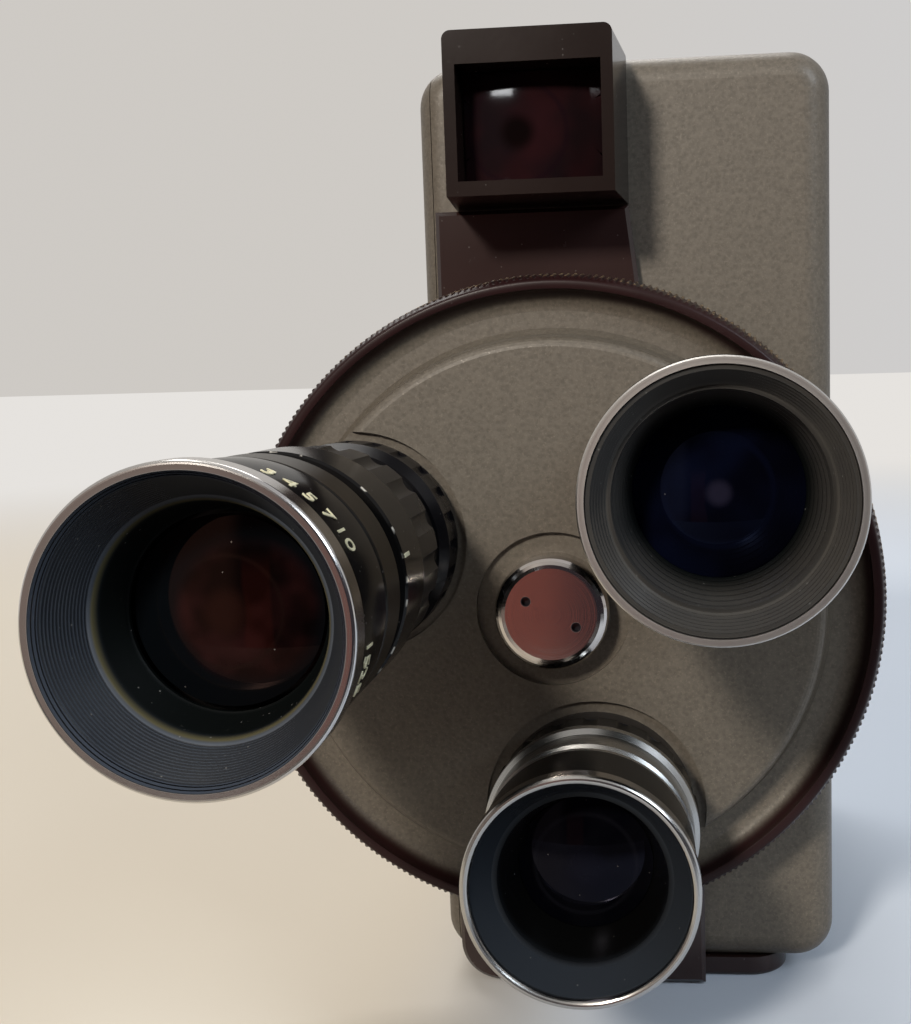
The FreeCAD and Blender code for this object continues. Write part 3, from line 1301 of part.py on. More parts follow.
def make_controls():
    side = half_width
    key = new_body("winding_key", f"{side} + key_lift", drum_y, drum_z, RIGHT)
    hub = sketch_on(key, "XY_Plane", "-key_lift + free_gap")
    circle(hub, "0", "0", "key_hub")
    circle(hub, "0", "0", "key_stem")
    pad(key, hub, "key_lift - free_gap")
    wing = sketch_on(key)
    outline(wing, [
        ("-key_width / 2", "-key_span / 2 + 4"), ("-key_width / 2 + 4", "-key_span / 2"),
        ("key_width / 2 - 4", "-key_span / 2"), ("key_width / 2", "-key_span / 2 + 4"),
        ("key_hub - 1", "0"),
        ("key_width / 2", "key_span / 2 - 4"), ("key_width / 2 - 4", "key_span / 2"),
        ("-key_width / 2 + 4", "key_span / 2"), ("-key_width / 2", "key_span / 2 - 4"),
        ("1 - key_hub", "0"),
    ])
    pad(key, wing, "key_thickness")
    soften(key, in_plane(size("key_thickness")), "key_thickness / 3")

    knob = turned("speed_knob", side, "knob_y", "knob_z", RIGHT, [
        ("0", "-side_wall - 1"), ("dial_stem", "-side_wall - 1"), ("dial_stem", "free_gap"),
        ("knob_radius", "free_gap"), ("knob_radius", "knob_height - 0.8"),
        ("knob_radius - 0.8", "knob_height"),
        ("0", "knob_height"),
    ])
    flutes(knob, 16, "knob_radius + 0.5", "1.1", "free_gap + 0.8", "knob_height + 1")
    turned("release_button", side, "button_y", "button_z", RIGHT, [
        ("0", "-side_wall - 0.4"), ("button_stem", "-side_wall - 0.4"),
        ("button_stem", "button_travel + free_gap"),
        ("button_radius", "button_travel + free_gap"),
        ("button_radius", "button_travel + button_height - 0.8"),
        ("button_radius - 1", "button_travel + button_height"), ("0", "button_travel + button_height - 0.4"),
    ])
    turned("footage_dial", side, "dial_y", "dial_z", RIGHT, [
        ("0", "-side_wall - 1"), ("dial_stem", "-side_wall - 1"), ("dial_stem", "free_gap"),
        ("dial_radius", "free_gap"), ("dial_radius", "dial_height - 0.4"),
        ("dial_radius - 0.4", "dial_height"),
        ("0", "dial_height"),
    ])

    screws = new_body("side_screws", side, "0", "0", RIGHT)
    for across in ("bridge_front + pillar_inset", "bridge_back - pillar_inset"):
        for height in ("bridge_low + pillar_inset", "bridge_head - pillar_inset"):
            head = sketch_on(screws)
            circle(head, across, height, "screw_radius")
            pad(screws, head, "screw_height")
            slot = sketch_on(screws, "XY_Plane", "screw_height")
            rectangle(
                slot, f"{across} - screw_radius - 0.1", f"{height} - screw_slot / 2",
                f"{across} + screw_radius + 0.1", f"{height} + screw_slot / 2"
            )
            cut(screws, slot, "screw_height / 2")


def make_latch():
    knob = turned("latch_knob", f"-{half_width}", "latch_y", "latch_z", LEFT, [
        ("0", "-door_thickness - cam_thickness - free_gap"),
        ("latch_shaft", "-door_thickness - cam_thickness - free_gap"),
        ("latch_shaft", "free_gap / 3"), ("latch_radius", "free_gap / 3"),
        ("latch_radius", "latch_height / 3"),
        ("latch_radius - 1", "latch_height / 3 + 0.6"), ("0", "latch_height / 3 + 0.6"),
    ])
    grip = sketch_on(knob, "XY_Plane", "latch_height / 3 + 0.6")
    rectangle(grip, "-latch_radius + 1.5", "-1.6", "latch_radius - 1.5", "1.6")
    pad(knob, grip, "latch_height * 2 / 3 - 0.6")
    soften(knob, in_plane(size("latch_height")), "0.8")
    cam = new_body("latch_cam", f"-{door_inner} + free_gap", "latch_y", "latch_z", RIGHT)
    bar = sketch_on(cam)
    rectangle(bar, "-cam_width / 2", "-cam_length / 2", "cam_width / 2", "cam_length / 2")
    pad(cam, bar, "cam_thickness")
    soften(cam, along_depth, "cam_width / 4")
    hole = sketch_on(cam)
    circle(hole, "0", "0", "latch_shaft")
    cut(cam, hole)
    turned("hinge_pin", f"-{door_inner}", "back_reach + hinge_radius", "hinge_low - 1", UP, [
        ("0", "0"), ("hinge_pin_radius", "0"),
        ("hinge_pin_radius", "hinge_high - hinge_low + hinge_length + 2"),
        ("0", "hinge_high - hinge_low + hinge_length + 2"),
    ])


make_housing()
make_door()
make_base()
make_front_plate()
make_finder()
make_turret()
make_telephoto()
make_wide()
make_normal()
make_gate()
make_spools()
make_movement()
make_plates()
make_bridge()
make_controls()
make_latch()
doc.recompute()

for item in doc.Objects:
    if "Invalid" in item.State or "Error" in item.State:
        raise RuntimeError(f"{item.Label} did not compute")
os.makedirs("parts", exist_ok=True)
for piece in pieces:
    if piece.Shape.isNull() or not piece.Shape.isValid():
        raise RuntimeError(f"{piece.Label} has no valid shape")
    piece.Shape.exportStep(f"parts/{piece.Label}.step")
print(len(pieces), "pieces")
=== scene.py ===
import math

import bpy
from mathutils import Euler, Matrix, Vector


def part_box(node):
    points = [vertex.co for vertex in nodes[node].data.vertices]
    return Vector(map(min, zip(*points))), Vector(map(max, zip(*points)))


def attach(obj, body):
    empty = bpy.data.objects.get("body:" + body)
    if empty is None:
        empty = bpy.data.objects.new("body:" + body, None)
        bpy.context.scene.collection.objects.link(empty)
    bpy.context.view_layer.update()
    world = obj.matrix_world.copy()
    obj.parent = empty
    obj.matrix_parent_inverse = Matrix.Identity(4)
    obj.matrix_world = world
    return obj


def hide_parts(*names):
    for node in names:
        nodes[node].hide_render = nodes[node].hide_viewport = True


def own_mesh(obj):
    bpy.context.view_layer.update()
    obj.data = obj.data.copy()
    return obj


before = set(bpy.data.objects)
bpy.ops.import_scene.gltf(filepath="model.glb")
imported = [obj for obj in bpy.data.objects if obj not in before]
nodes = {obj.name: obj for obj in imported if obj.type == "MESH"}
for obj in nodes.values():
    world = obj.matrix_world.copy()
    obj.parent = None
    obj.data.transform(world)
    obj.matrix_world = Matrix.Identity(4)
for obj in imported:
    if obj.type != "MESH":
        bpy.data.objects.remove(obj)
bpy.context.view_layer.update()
mm = 0.001
print("frame loaded:", len(nodes), "nodes")

# Where the turning parts have their axes, in millimetres: x and z of a line along y
turretAxis = (-9.6, 56.0)
lensPitch = 27.2
lensAngles = {"wide": 40.4, "tele": 160.4, "normal": 280.4}
seatPlane = -49.77  # y of the plane on which the lenses sit
rimPlane = -48.07  # and of the front of the turret's rim


def lensAxis(name):
    angle = math.radians(lensAngles[name])
    across, up = lensPitch * math.cos(angle), lensPitch * math.sin(angle)
    return (turretAxis[0] + across, turretAxis[1] + up)


# Camera
view = {
    "place": (7.40 * mm, -221.4 * mm, 86.4 * mm),
    "tilt": (6.589, 5.618, -0.936),  # degrees about the camera's own x, y and z
    "focal": 1338.0,  # in pixels of the picture
    "middle": (552.0, 527.7),
    "picture": (911, 1024),
    "sensor": 36.0,
    "reach": (0.01, 60),  # what it sees, in metres from it
}


def addCamera():
    width, height = view["picture"]
    lens = bpy.data.cameras.new("photoCamera")
    lens.sensor_width = view["sensor"]
    lens.lens = view["focal"] * view["sensor"] / height
    lens.shift_x = (width / 2 - view["middle"][0]) / height
    lens.shift_y = (view["middle"][1] - height / 2) / height
    lens.clip_start, lens.clip_end = view["reach"]
    camera = bpy.data.objects.new("photoCamera", lens)
    bpy.context.scene.collection.objects.link(camera)
    # the fitted view counts right, down and forward, and Blender's camera right, up and back
    turn = Euler([math.radians(angle) for angle in view["tilt"]], "XYZ").to_matrix()
    toPicture = turn @ Matrix(((1, 0, 0), (0, 0, -1), (0, 1, 0)))
    flip = Matrix(((1, 0, 0), (0, -1, 0), (0, 0, -1)))
    facing = (flip @ toPicture).transposed().to_4x4()
    camera.matrix_world = Matrix.Translation(view["place"]) @ facing
    bpy.context.scene.camera = camera


# Lamps: soft squares, a side in metres and a power in watts
lampAim = (0, 0, 0.06)
lamps = {
    "keyWarm": {
        "place": (-0.35, -1.05, 0.64), "side": 0.16, "power": 11.0, "colour": (1.0, 0.93, 0.84)
    },
    "windowCool": {
        "place": (0.69, -0.65, 0.64), "side": 0.42, "power": 5.2, "colour": (0.80, 0.90, 1.0)
    },
    "ceilingBack": {
        "place": (-0.25, 0.65, 1.10), "side": 0.80, "power": 9.0, "colour": (1.0, 0.98, 0.95)
    },
}


def addLamp(name, own):
    light = bpy.data.lights.new(name, "AREA")
    light.size = own["side"]
    light.energy = own["power"]
    light.color = own["colour"]
    lamp = bpy.data.objects.new(name, light)
    lamp.location = own["place"]
    aim = Vector(lampAim) - Vector(own["place"])
    lamp.rotation_euler = aim.to_track_quat("-Z", "Y").to_euler()
    bpy.context.scene.collection.objects.link(lamp)


# Materials: a Signal is one output socket, and its arithmetic adds Math nodes
class Signal:
    def __init__(self, recipe, socket):
        self.recipe = recipe
        self.socket = socket

    def calc(self, operation, *others):
        return self.recipe.node("Math", {"operation": operation}, dict(enumerate((self,) + others)))

    def __add__(self, other):
        return self.calc("ADD", other)

    def __radd__(self, other):
        return self.calc("ADD", other)

    def __sub__(self, other):
        return self.calc("SUBTRACT", other)

    def __rsub__(self, other):
        return self.recipe.node("Math", {"operation": "SUBTRACT"}, {0: other, 1: self})

    def __mul__(self, other):
        return self.calc("MULTIPLY", other)

    def __rmul__(self, other):
        return self.calc("MULTIPLY", other)

    def __truediv__(self, other):
        return self.calc("DIVIDE", other)

    def __pow__(self, other):
        return self.calc("POWER", other)

    def __neg__(self):
        return self.calc("MULTIPLY", -1.0)

    def between(self, low, high):
        # a mask that rises softly from 0 at low to 1 at high
        ends = {"Value": self, "From Min": low, "From Max": high}
        return self.recipe.node("MapRange", {"interpolation_type": "SMOOTHSTEP"}, ends)

    def band(self, low, high, soft):
        # a mask that is 1 from low to high, with soft edges
        return self.between(low - soft, low + soft) * (1 - self.between(high - soft, high + soft))

    def atMost(self, other):
        return self.calc("MINIMUM", other)

    def beside(self, output):
        # another output of the same node
        return Signal(self.recipe, self.socket.node.outputs[output])


class Recipe:
    def __init__(self, name, world=False):
        library = bpy.data.worlds if world else bpy.data.materials
        self.made = library.new(name)
        self.made.use_nodes = True
        self.tree = self.made.node_tree
        self.tree.nodes.clear()
        self.objectSpots = None

    def node(self, kind, settings=None, inputs=None, output=0):
        added = self.tree.nodes.new("ShaderNode" + kind)
        for name, value in (settings or {}).items():
            setattr(added, name, value)
        for name, value in (inputs or {}).items():
            self.feed(added.inputs[name], value)
        return Signal(self, added.outputs[output]) if added.outputs else None

    def feed(self, socket, value):
        if isinstance(value, Signal):
            self.tree.links.new(value.socket, socket)
        elif isinstance(value, tuple) and len(value) == 3 and socket.type == "RGBA":
            socket.default_value = (*value, 1.0)
        else:
            socket.default_value = value

    def spots(self):
        if self.objectSpots is None:
            self.objectSpots = self.node("TexCoord", output="Object")
        return self.objectSpots

    def apart(self, vector):
        first = self.node("SeparateXYZ", inputs={0: vector})
        return first, first.beside(1), first.beside(2)

    def noise(self, scale, detail, vector=None, rough=0.5):
        spot = vector or self.spots()
        look = {"Vector": spot, "Scale": scale, "Detail": detail, "Roughness": rough}
        return self.node("TexNoise", inputs=look)

    def turnedLines(self, away, along, pitch):
        # fine tool marks, from distances to the axis and along it in millimetres
        track = self.node("CombineXYZ", inputs={0: away * pitch, 1: along * pitch, 2: 0.0})
        return self.noise(1.0, 2, track)

    def specks(self, scale, size, share):
        # small round specks: a share of the cells holds one, of up to that size
        cell = self.node("TexVoronoi", inputs={"Vector": self.spots(), "Scale": scale})
        near = 1 - cell.between(size * 0.6, size)
        pick, _, _ = self.apart(cell.beside("Color"))
        return near * (1 - pick.between(share, share + 0.02))

    def mix(self, share, first, second):
        # a Mix node's colours are its sockets 6 and 7, and output 2 gives their mix
        colours = {"Factor": share, 6: first, 7: second}
        return self.node("Mix", {"data_type": "RGBA"}, colours, output=2)

    def fromAxis(self, axis):
        # distance from a line along y, in millimetres
        across, _, up = self.apart(self.spots())
        side = across / mm - axis[0]
        rise = up / mm - axis[1]
        return (side * side + rise * rise) ** 0.5

    def around(self, axis):
        # angle about a line along y, in radians
        across, _, up = self.apart(self.spots())
        return (up / mm - axis[1]).calc("ARCTAN2", across / mm - axis[0])

    def height(self, plane):
        # millimetres in front of a plane across y
        _, depth, _ = self.apart(self.spots())
        return plane - depth / mm

    def bump(self, height, depth, strength):
        relief = {"Height": height, "Distance": depth, "Strength": strength}
        return self.node("Bump", inputs=relief)

    def shade(self, **sockets):
        # a socket is named as base_color or ior for Base Color or IOR
        names = {key: key.replace("_", " ").title().replace("Ior", "IOR") for key in sockets}
        named = {names[key]: value for key, value in sockets.items()}
        return self.node("BsdfPrincipled", inputs=named)

    def output(self, shader):
        self.node("OutputMaterial", inputs={"Surface": shader})
        return self.made

    def surface(self, **sockets):
        return self.output(self.shade(**sockets))


def shaded(colour, share):
    return tuple(part * share for part in colour)


# The dust on each kind of surface
dustTones = {
    "paint": (0.24, 0.22, 0.20),
    "rim": (0.22, 0.20, 0.18),
    "hood": (0.20, 0.20, 0.19),
    "glass": (0.16, 0.15, 0.14),
}


# Hammertone: round dimples, a fine grain and pale flecks, over a slow drift of the tone
hammer = {
    "scales": {"drift": 70, "dimples": 1500, "grain": 2300, "flecks": 3600},
    "shares": {"drift": 0.20, "dimples": 0.35, "grain": 0.45},
    "soft": 0.4,
    "flecks": 0.30,
    "fleckLight": 1.6,
    "metal": 0.12,
    "rough": 0.50,
    "coat": 0.18,
    "coatRough": 0.28,
    "depth": 0.035 * mm,
}


def hammerPaint(recipe, light, dark):
    scales, shares = hammer["scales"], hammer["shares"]
    drift = recipe.noise(scales["drift"], 3)
    cells = recipe.node(
        "TexVoronoi", {"feature": "SMOOTH_F1"},
        {"Vector": recipe.spots(), "Scale": scales["dimples"], "Smoothness": hammer["soft"]}
    )
    grain = recipe.noise(scales["grain"], 3, rough=0.65)
    fleck = recipe.noise(scales["flecks"], 1).between(0.60, 0.72)
    dimple = cells.between(0.15, 0.75)
    speck = dimple * shares["dimples"] + grain.between(0.30, 0.70) * shares["grain"]
    colour = recipe.mix(speck + drift * shares["drift"], dark, light)
    pale = shaded(light, hammer["fleckLight"])
    return recipe.shade(
        base_color=recipe.mix(fleck * hammer["flecks"], colour, pale),
        metallic=hammer["metal"],
        roughness=hammer["rough"] - fleck * 0.14 + drift * 0.08,
        coat_weight=hammer["coat"],
        coat_roughness=hammer["coatRough"],
        normal=recipe.bump(dimple * 0.6 + grain * 0.5, hammer["depth"], 0.5),
    )


def hammertone(name, light, dark):
    recipe = Recipe(name)
    return recipe.output(hammerPaint(recipe, light, dark))


# Enamels: gloss is the roughness of the clean paint, and level how much it mirrors
enamels = {
    "brownEnamel": {
        "dark": (0.020, 0.010, 0.009), "warm": (0.032, 0.014, 0.012),
        "gloss": 0.20, "level": 0.4, "coat": 0.2,
    },
    "finderEnamel": {
        "dark": (0.010, 0.006, 0.005), "warm": (0.018, 0.010, 0.008),
        "gloss": 0.16, "level": 0.3, "coat": 0.0,
    },
    "blackEnamel": {
        "dark": (0.004, 0.004, 0.005), "warm": (0.008, 0.007, 0.006),
        "gloss": 0.12, "level": 0.2, "coat": 0.0,
    },
    "satinBlack": {
        "dark": (0.004, 0.004, 0.006), "warm": (0.009, 0.008, 0.008),
        "gloss": 0.24, "level": 0.18, "coat": 0.0,
    },
}


def enamel(name):
    own = enamels[name]
    recipe = Recipe(name)
    orangePeel = recipe.noise(900, 2)
    dust = recipe.specks(1400, 0.16, 0.06)
    patch = recipe.noise(60, 3)
    scuff = recipe.noise(420, 4, rough=0.7).between(0.62, 0.80)
    tone = recipe.mix(patch, own["dark"], own["warm"])
    return recipe.surface(
        base_color=recipe.mix(dust * 0.25, tone, dustTones["paint"]),
        roughness=dust * 0.3 + patch * 0.08 + scuff * 0.12 + own["gloss"],
        specular_ior_level=own["level"],
        coat_weight=own["coat"],
        coat_roughness=0.10,
        normal=recipe.bump(orangePeel, 0.010 * mm, 0.4),
    )


# The turret's rim: dark enamel, worn to bare brass on the tips of the teeth. Its cove is painted
# like the disc. The enamel is real on the land, and its soft dark border running down into the cove
# is painted shade under the rim's lip
rimFinish = {
    "tip": 43.02,  # radius that is worn, at the front of the teeth
    "taper": 0.106,  # and how much wider it is for each millimetre further back
    "wornTip": (0.22, 0.02),  # the wear begins and is full so far inside the tip
    "paint": (0.015, 0.007, 0.007),
    "warm": (0.026, 0.009, 0.009),
    "bare": (0.42, 0.30, 0.17),
    "shadeBorder": (39.85, 41.15),  # radii between which the dark enamel takes over from the cove's paint, as painted shade down the cove
    "level": 0.18,
}


def knurlEnamel(name, coveTones):
    own = rimFinish
    recipe = Recipe(name)
    away = recipe.fromAxis(turretAxis)
    behind = -recipe.height(rimPlane)
    start, full = own["wornTip"]
    tip = (away - behind * own["taper"]).between(own["tip"] - start, own["tip"] - full)
    chips = recipe.noise(520, 3, rough=0.7).between(0.44, 0.62)
    worn = tip * chips
    haze = recipe.noise(130, 3)
    dust = recipe.specks(1500, 0.15, 0.07)
    paint = recipe.mix(haze, own["paint"], own["warm"])
    paint = recipe.mix(dust * 0.3, paint, dustTones["rim"])
    outer = recipe.shade(
        base_color=recipe.mix(worn, paint, own["bare"]),
        metallic=worn * 0.9,
        roughness=haze * 0.10 + worn * 0.14 + dust * 0.2 + 0.30,
        specular_ior_level=own["level"],
        normal=recipe.bump(recipe.noise(800, 2), 0.012 * mm, 0.4),
    )
    cove = hammerPaint(recipe, *coveTones)
    # painted shade: the dark enamel reaches down into the cove, where the lip's shadow falls
    share = (away + haze * 0.3).between(*own["shadeBorder"])
    return recipe.output(recipe.node("MixShader", inputs={0: share, 1: cove, 2: outer}))


# The fine threads inside the telephoto's hood, in heights over the lens seat. Wall is the share of
# a thread that runs along the axis. RimPitch is the length of the threads that are only painted,
# on the inside of the metal rim
hoodThreads = {"count": 13, "front": 61.55, "rear": 56.62, "wall": 0.72, "rimPitch": 0.38}
# the threads' walls in the hood's paint, and their roots dark as painted shade
threadPaintAndShade = {"wall": (0.050, 0.060, 0.078), "root": (0.005, 0.005, 0.006)}


def turnedMetal(name, colour, axis, gloss, lines, wear=0.0, black=0.0, holeShades=()):
    # inside the radius called black the metal is painted, with threads whose dark roots are painted
    # shade; the holes are dark spots, painted shade where they are drilled into it; without an axis
    # it is brushed lengthwise
    recipe = Recipe(name)
    pitch = 9.0  # waves of the tool marks in a millimetre
    if axis:
        distance = recipe.fromAxis(axis)
        _, depth, _ = recipe.apart(recipe.spots())
        marks = {0: distance * pitch, 1: depth * (pitch / mm), 2: 0.0}
        track = recipe.node("CombineXYZ", inputs=marks)
    else:
        brushed = {0: recipe.spots(), 1: (300.0, 4000.0, 4000.0)}
        track = recipe.node("VectorMath", {"operation": "MULTIPLY"}, brushed)
    line = recipe.noise(1.0, 2, track)
    smear = recipe.noise(160, 3)
    tarnish = recipe.noise(700, 4, rough=0.7).between(0.60, 0.75) * wear
    tone = recipe.mix(smear, colour, shaded(colour, 0.82))
    tone = recipe.mix(tarnish, tone, shaded(colour, 0.45))
    bare, paintAndShade = 1.0, (0.014, 0.015, 0.018)
    if black:
        # the hood's threads run on up to the bare metal, only painted there, with painted shade in
        # their roots
        further = recipe.height(seatPlane) - hoodThreads["front"]
        turns = (further / hoodThreads["rimPitch"]).calc("FRACT").between(0.62, 0.72)
        paintAndShade = recipe.mix(turns, threadPaintAndShade["wall"], threadPaintAndShade["root"])
        bare = distance.between(black - 0.05, black + 0.05)
    # painted shade: a dark spot in place of the shade inside each hole
    for hole in holeShades:
        bare = recipe.fromAxis(hole).between(0.62, 0.68) * bare
    return recipe.surface(
        base_color=recipe.mix(bare, paintAndShade, tone),
        metallic=bare,
        roughness=line * lines + smear * 0.06 + tarnish * 0.25 + gloss,
        normal=recipe.bump(line, 0.008 * mm, 0.5),
    )


def baffleBlack(name, own):
    # matt black inside a lens hood, with dust, fine turning lines and a tinted ring; painted shade
    # darkens the threads' walls and the deep cone
    recipe = Recipe(name)
    away = recipe.fromAxis(own["axis"])
    forward = recipe.height(seatPlane)
    ring = away.band(*own["ring"], 0.12)
    dust = recipe.specks(1500, 0.17, 0.10)
    lint = recipe.noise(900, 4, rough=0.8).between(0.66, 0.74)
    patch = recipe.noise(140, 3)
    line = recipe.turnedLines(away, forward, 6.0)
    tone = recipe.mix(patch, own["dark"], own["light"])
    if own["threaded"]:
        # painted shade: the walls of the threads are darkened, up to the collar behind them
        front, rear, wall = (hoodThreads[key] for key in ("front", "rear", "wall"))
        phase = ((front - forward) / ((front - rear) / hoodThreads["count"])).calc("FRACT")
        threadShade = phase.between(wall - 0.04, wall + 0.02) * forward.between(rear - 0.12, rear + 0.08)
        tone = recipe.mix(threadShade * 0.8, tone, (0.004, 0.004, 0.005))
    # painted shade: deep inside the hood the tone goes nearly to black
    depth = 1 - away.between(*own["deepShade"])
    tone = recipe.mix(depth, tone, (0.002, 0.003, 0.003))
    tone = recipe.mix(ring * own["ringShare"], tone, own["ringColour"])
    return recipe.surface(
        base_color=recipe.mix((dust + lint * 0.3) * own["dust"], tone, dustTones["hood"]),
        roughness=patch * 0.08 + line * 0.12 + depth * 0.20 + own["gloss"],
        specular_ior_level=own["shine"],
        normal=recipe.bump(line * 0.7 + patch * 0.3, 0.012 * mm, 0.4),
    )


def lensGlass(name, own):
    # coated glass: dark in the depth, its coating tints what it mirrors. Its base colour also holds
    # painted reflections: clouds, a centre, a ghost ring and a dark border round a patch stand for
    # the room, the inner elements and the hood mirrored in it
    recipe = Recipe(name)
    axis = own["axis"]
    away = recipe.fromAxis(axis)
    # painted reflections: clouds between the edge and depth tones, a centre disc and a ghost ring,
    # for what the inner elements and the room mirror
    reflectionCloud = recipe.noise(own["reflectionCloudScale"], 2)
    coreReflection = 1 - away.between(own["coreReflection"] * 0.35, own["coreReflection"])
    ghostReflection = away.band(*own["ghostReflection"], 0.25)
    dust = recipe.specks(1100, 0.11, 0.09)
    tone = recipe.mix(reflectionCloud.between(0.35, 0.68), own["edge"], own["depth"])
    tone = recipe.mix(coreReflection, tone, own["centre"])
    tone = recipe.mix(ghostReflection * 0.6, tone, own["ring"])
    if "hoodReflection" in own:
        # painted reflection of the hood: beyond a round patch to one side of the axis the glass is
        # dark
        hoodReflection = own["hoodReflection"]
        middle = (axis[0] + hoodReflection["shift"], axis[1])
        inside, outside = hoodReflection["radius"]
        tone = recipe.mix(recipe.fromAxis(middle).between(inside, outside), tone, hoodReflection["mirroredHood"])
    return recipe.surface(
        base_color=recipe.mix(dust * own["dust"], tone, dustTones["glass"]),
        roughness=dust * 0.4 + own["blur"],
        ior=own["ior"],
        specular_tint=own["tint"],
        normal=recipe.bump(recipe.noise(500, 2), 0.001 * mm, 0.25),
    )


# The normal lens's barrel: black in the hood and on the front band, satin chrome behind it, with a
# bright beaded line between. Deep in the hood the black goes darker still, as painted shade. Places
# are radii, and heights over the lens seat
normalBands = {
    "skin": (11.2, 11.6),  # radii between the inner walls and the outer ones
    "cone": (19.0, 20.0),  # in front of these heights that border lies further out
    "coneWider": 1.2,
    # radii inside which the bore goes nearly black, as painted shade
    "bore": (9.4, 10.6),
    "bright": (17.0, 18.1),
    "satin": (9.0, 16.95),
    "beads": 90.0,
    "boreShade": (0.002, 0.002, 0.002),
    "coneTone": (0.020, 0.024, 0.030),
    "blackTone": (0.004, 0.004, 0.004),
    "steel": ((0.46, 0.46, 0.45), (0.34, 0.34, 0.33)),
    "beadTone": (0.46, 0.45, 0.43),
}


def normalBarrelFinish(name):
    own = normalBands
    recipe = Recipe(name)
    axis = lensAxis("normal")
    away = recipe.fromAxis(axis)
    forward = recipe.height(seatPlane)
    outside = (away - forward.between(*own["cone"]) * own["coneWider"]).between(*own["skin"])
    beads = (recipe.around(axis) * own["beads"]).calc("SINE") * 0.5 + 0.5
    bright = forward.band(*own["bright"], 0.06) * outside
    satin = forward.band(*own["satin"], 0.07) * outside
    metal = (bright + satin).atMost(1.0)
    haze = recipe.noise(150, 3)
    line = recipe.turnedLines(away, forward, 8.0)
    dust = recipe.specks(1300, 0.15, 0.07)
    # painted shade: the bore goes darker towards the axis, deep inside the barrel
    inside = recipe.mix(away.between(*own["bore"]), own["boreShade"], own["coneTone"])
    black = recipe.mix(outside, inside, own["blackTone"])
    black = recipe.mix(dust * 0.35, black, dustTones["hood"])
    steel = recipe.mix(haze, *own["steel"])
    steel = recipe.mix(bright * (1 - beads * 0.6), steel, own["beadTone"])
    return recipe.surface(
        base_color=recipe.mix(metal, black, steel),
        metallic=metal,
        roughness=metal * 0.06 + line * 0.14 + haze * 0.06 + 0.12,
        specular_ior_level=0.07,
        normal=recipe.bump(line * 0.3 + beads * bright * 3.0, 0.03 * mm, 0.5),
    )


# The telephoto's barrel: gloss black with a brown band, and bright worn dashes on the front edge
# of its scale ring
shellBands = {
    "brown": (41.0, 46.7),  # heights over the lens seat
    "dashes": (36.75, 37.05),
    "turns": 34.0,  # dashes round the barrel
    "blackTones": ((0.004, 0.004, 0.005), (0.008, 0.007, 0.006)),
    "brownTones": ((0.010, 0.008, 0.005), (0.024, 0.017, 0.011)),
    "bare": (0.55, 0.52, 0.46),
}


def shellFinish(name):
    own = shellBands
    recipe = Recipe(name)
    forward = recipe.height(seatPlane)
    turn = recipe.around(lensAxis("tele"))
    patch = recipe.noise(90, 3)
    dust = recipe.specks(1400, 0.16, 0.06)
    band = forward.band(*own["brown"], 0.15)
    dashes = (turn * own["turns"]).calc("SINE").between(0.35, 0.75)
    dashes = dashes * recipe.noise(380, 2).between(0.46, 0.56) * forward.band(*own["dashes"], 0.06)
    black = recipe.mix(patch, *own["blackTones"])
    brown = recipe.mix(recipe.noise(700, 4, rough=0.7), *own["brownTones"])
    tone = recipe.mix(dust * 0.25, recipe.mix(band, black, brown), dustTones["paint"])
    return recipe.surface(
        base_color=recipe.mix(dashes, tone, own["bare"]),
        roughness=patch * 0.08 + dust * 0.3 + band * 0.18 + 0.12,
        specular_ior_level=0.14,
        normal=recipe.bump(recipe.noise(900, 2), 0.010 * mm, 0.4),
    )


def plainPaint(name, colour, rough):
    recipe = Recipe(name)
    patch = recipe.noise(300, 3)
    return recipe.surface(
        base_color=recipe.mix(patch * 0.4, colour, shaded(colour, 0.75)),
        roughness=patch * 0.12 + rough,
        normal=recipe.bump(recipe.noise(2600, 1), 0.01 * mm, 0.3),
    )


discTones = ((0.146, 0.124, 0.096), (0.086, 0.072, 0.054))
bodyPaint = hammertone("bodyHammertone", (0.150, 0.128, 0.100), (0.088, 0.074, 0.056))
discPaint = hammertone("discHammertone", *discTones)
rimEnamel = knurlEnamel("rimEnamel", discTones)
brownEnamel, finderEnamel, blackEnamel, satinBlack = [enamel(name) for name in enamels]

# Metals: gloss is the roughness of the bare metal, and lines what the tool marks add to it
teleChrome = turnedMetal(
    "teleChrome", (0.62, 0.60, 0.585), lensAxis("tele"),
    gloss=0.10, lines=0.10, wear=0.12, black=14.12
)
normalChrome = turnedMetal(
    "normalChrome", (0.48, 0.47, 0.455), lensAxis("normal"), gloss=0.12, lines=0.10, wear=0.12
)
wideSatin = turnedMetal(
    "wideSatin", (0.58, 0.56, 0.53), lensAxis("wide"), gloss=0.22, lines=0.26, wear=0.15
)
hubHole = (-3.18, 1.69)  # across and up from the turret's axis; the other one lies opposite
hubHoles = [
    (turretAxis[0] + side * hubHole[0], turretAxis[1] + side * hubHole[1]) for side in (-1, 1)
]
hubChrome = turnedMetal(
    "hubChrome", (0.60, 0.56, 0.53), turretAxis, gloss=0.05, lines=0.06, wear=0.2, holeShades=hubHoles
)
controlSatin = turnedMetal("controlSatin", (0.58, 0.57, 0.55), None, gloss=0.24, lines=0.16)
plateSteel = turnedMetal("plateSteel", (0.50, 0.50, 0.51), None, gloss=0.28, lines=0.2)
movementBrass = turnedMetal("movementBrass", (0.62, 0.45, 0.21), None, gloss=0.26, lines=0.16)
normalBarrel = normalBarrelFinish("normalBarrel")
teleShellFinish = shellFinish("teleShellFinish")

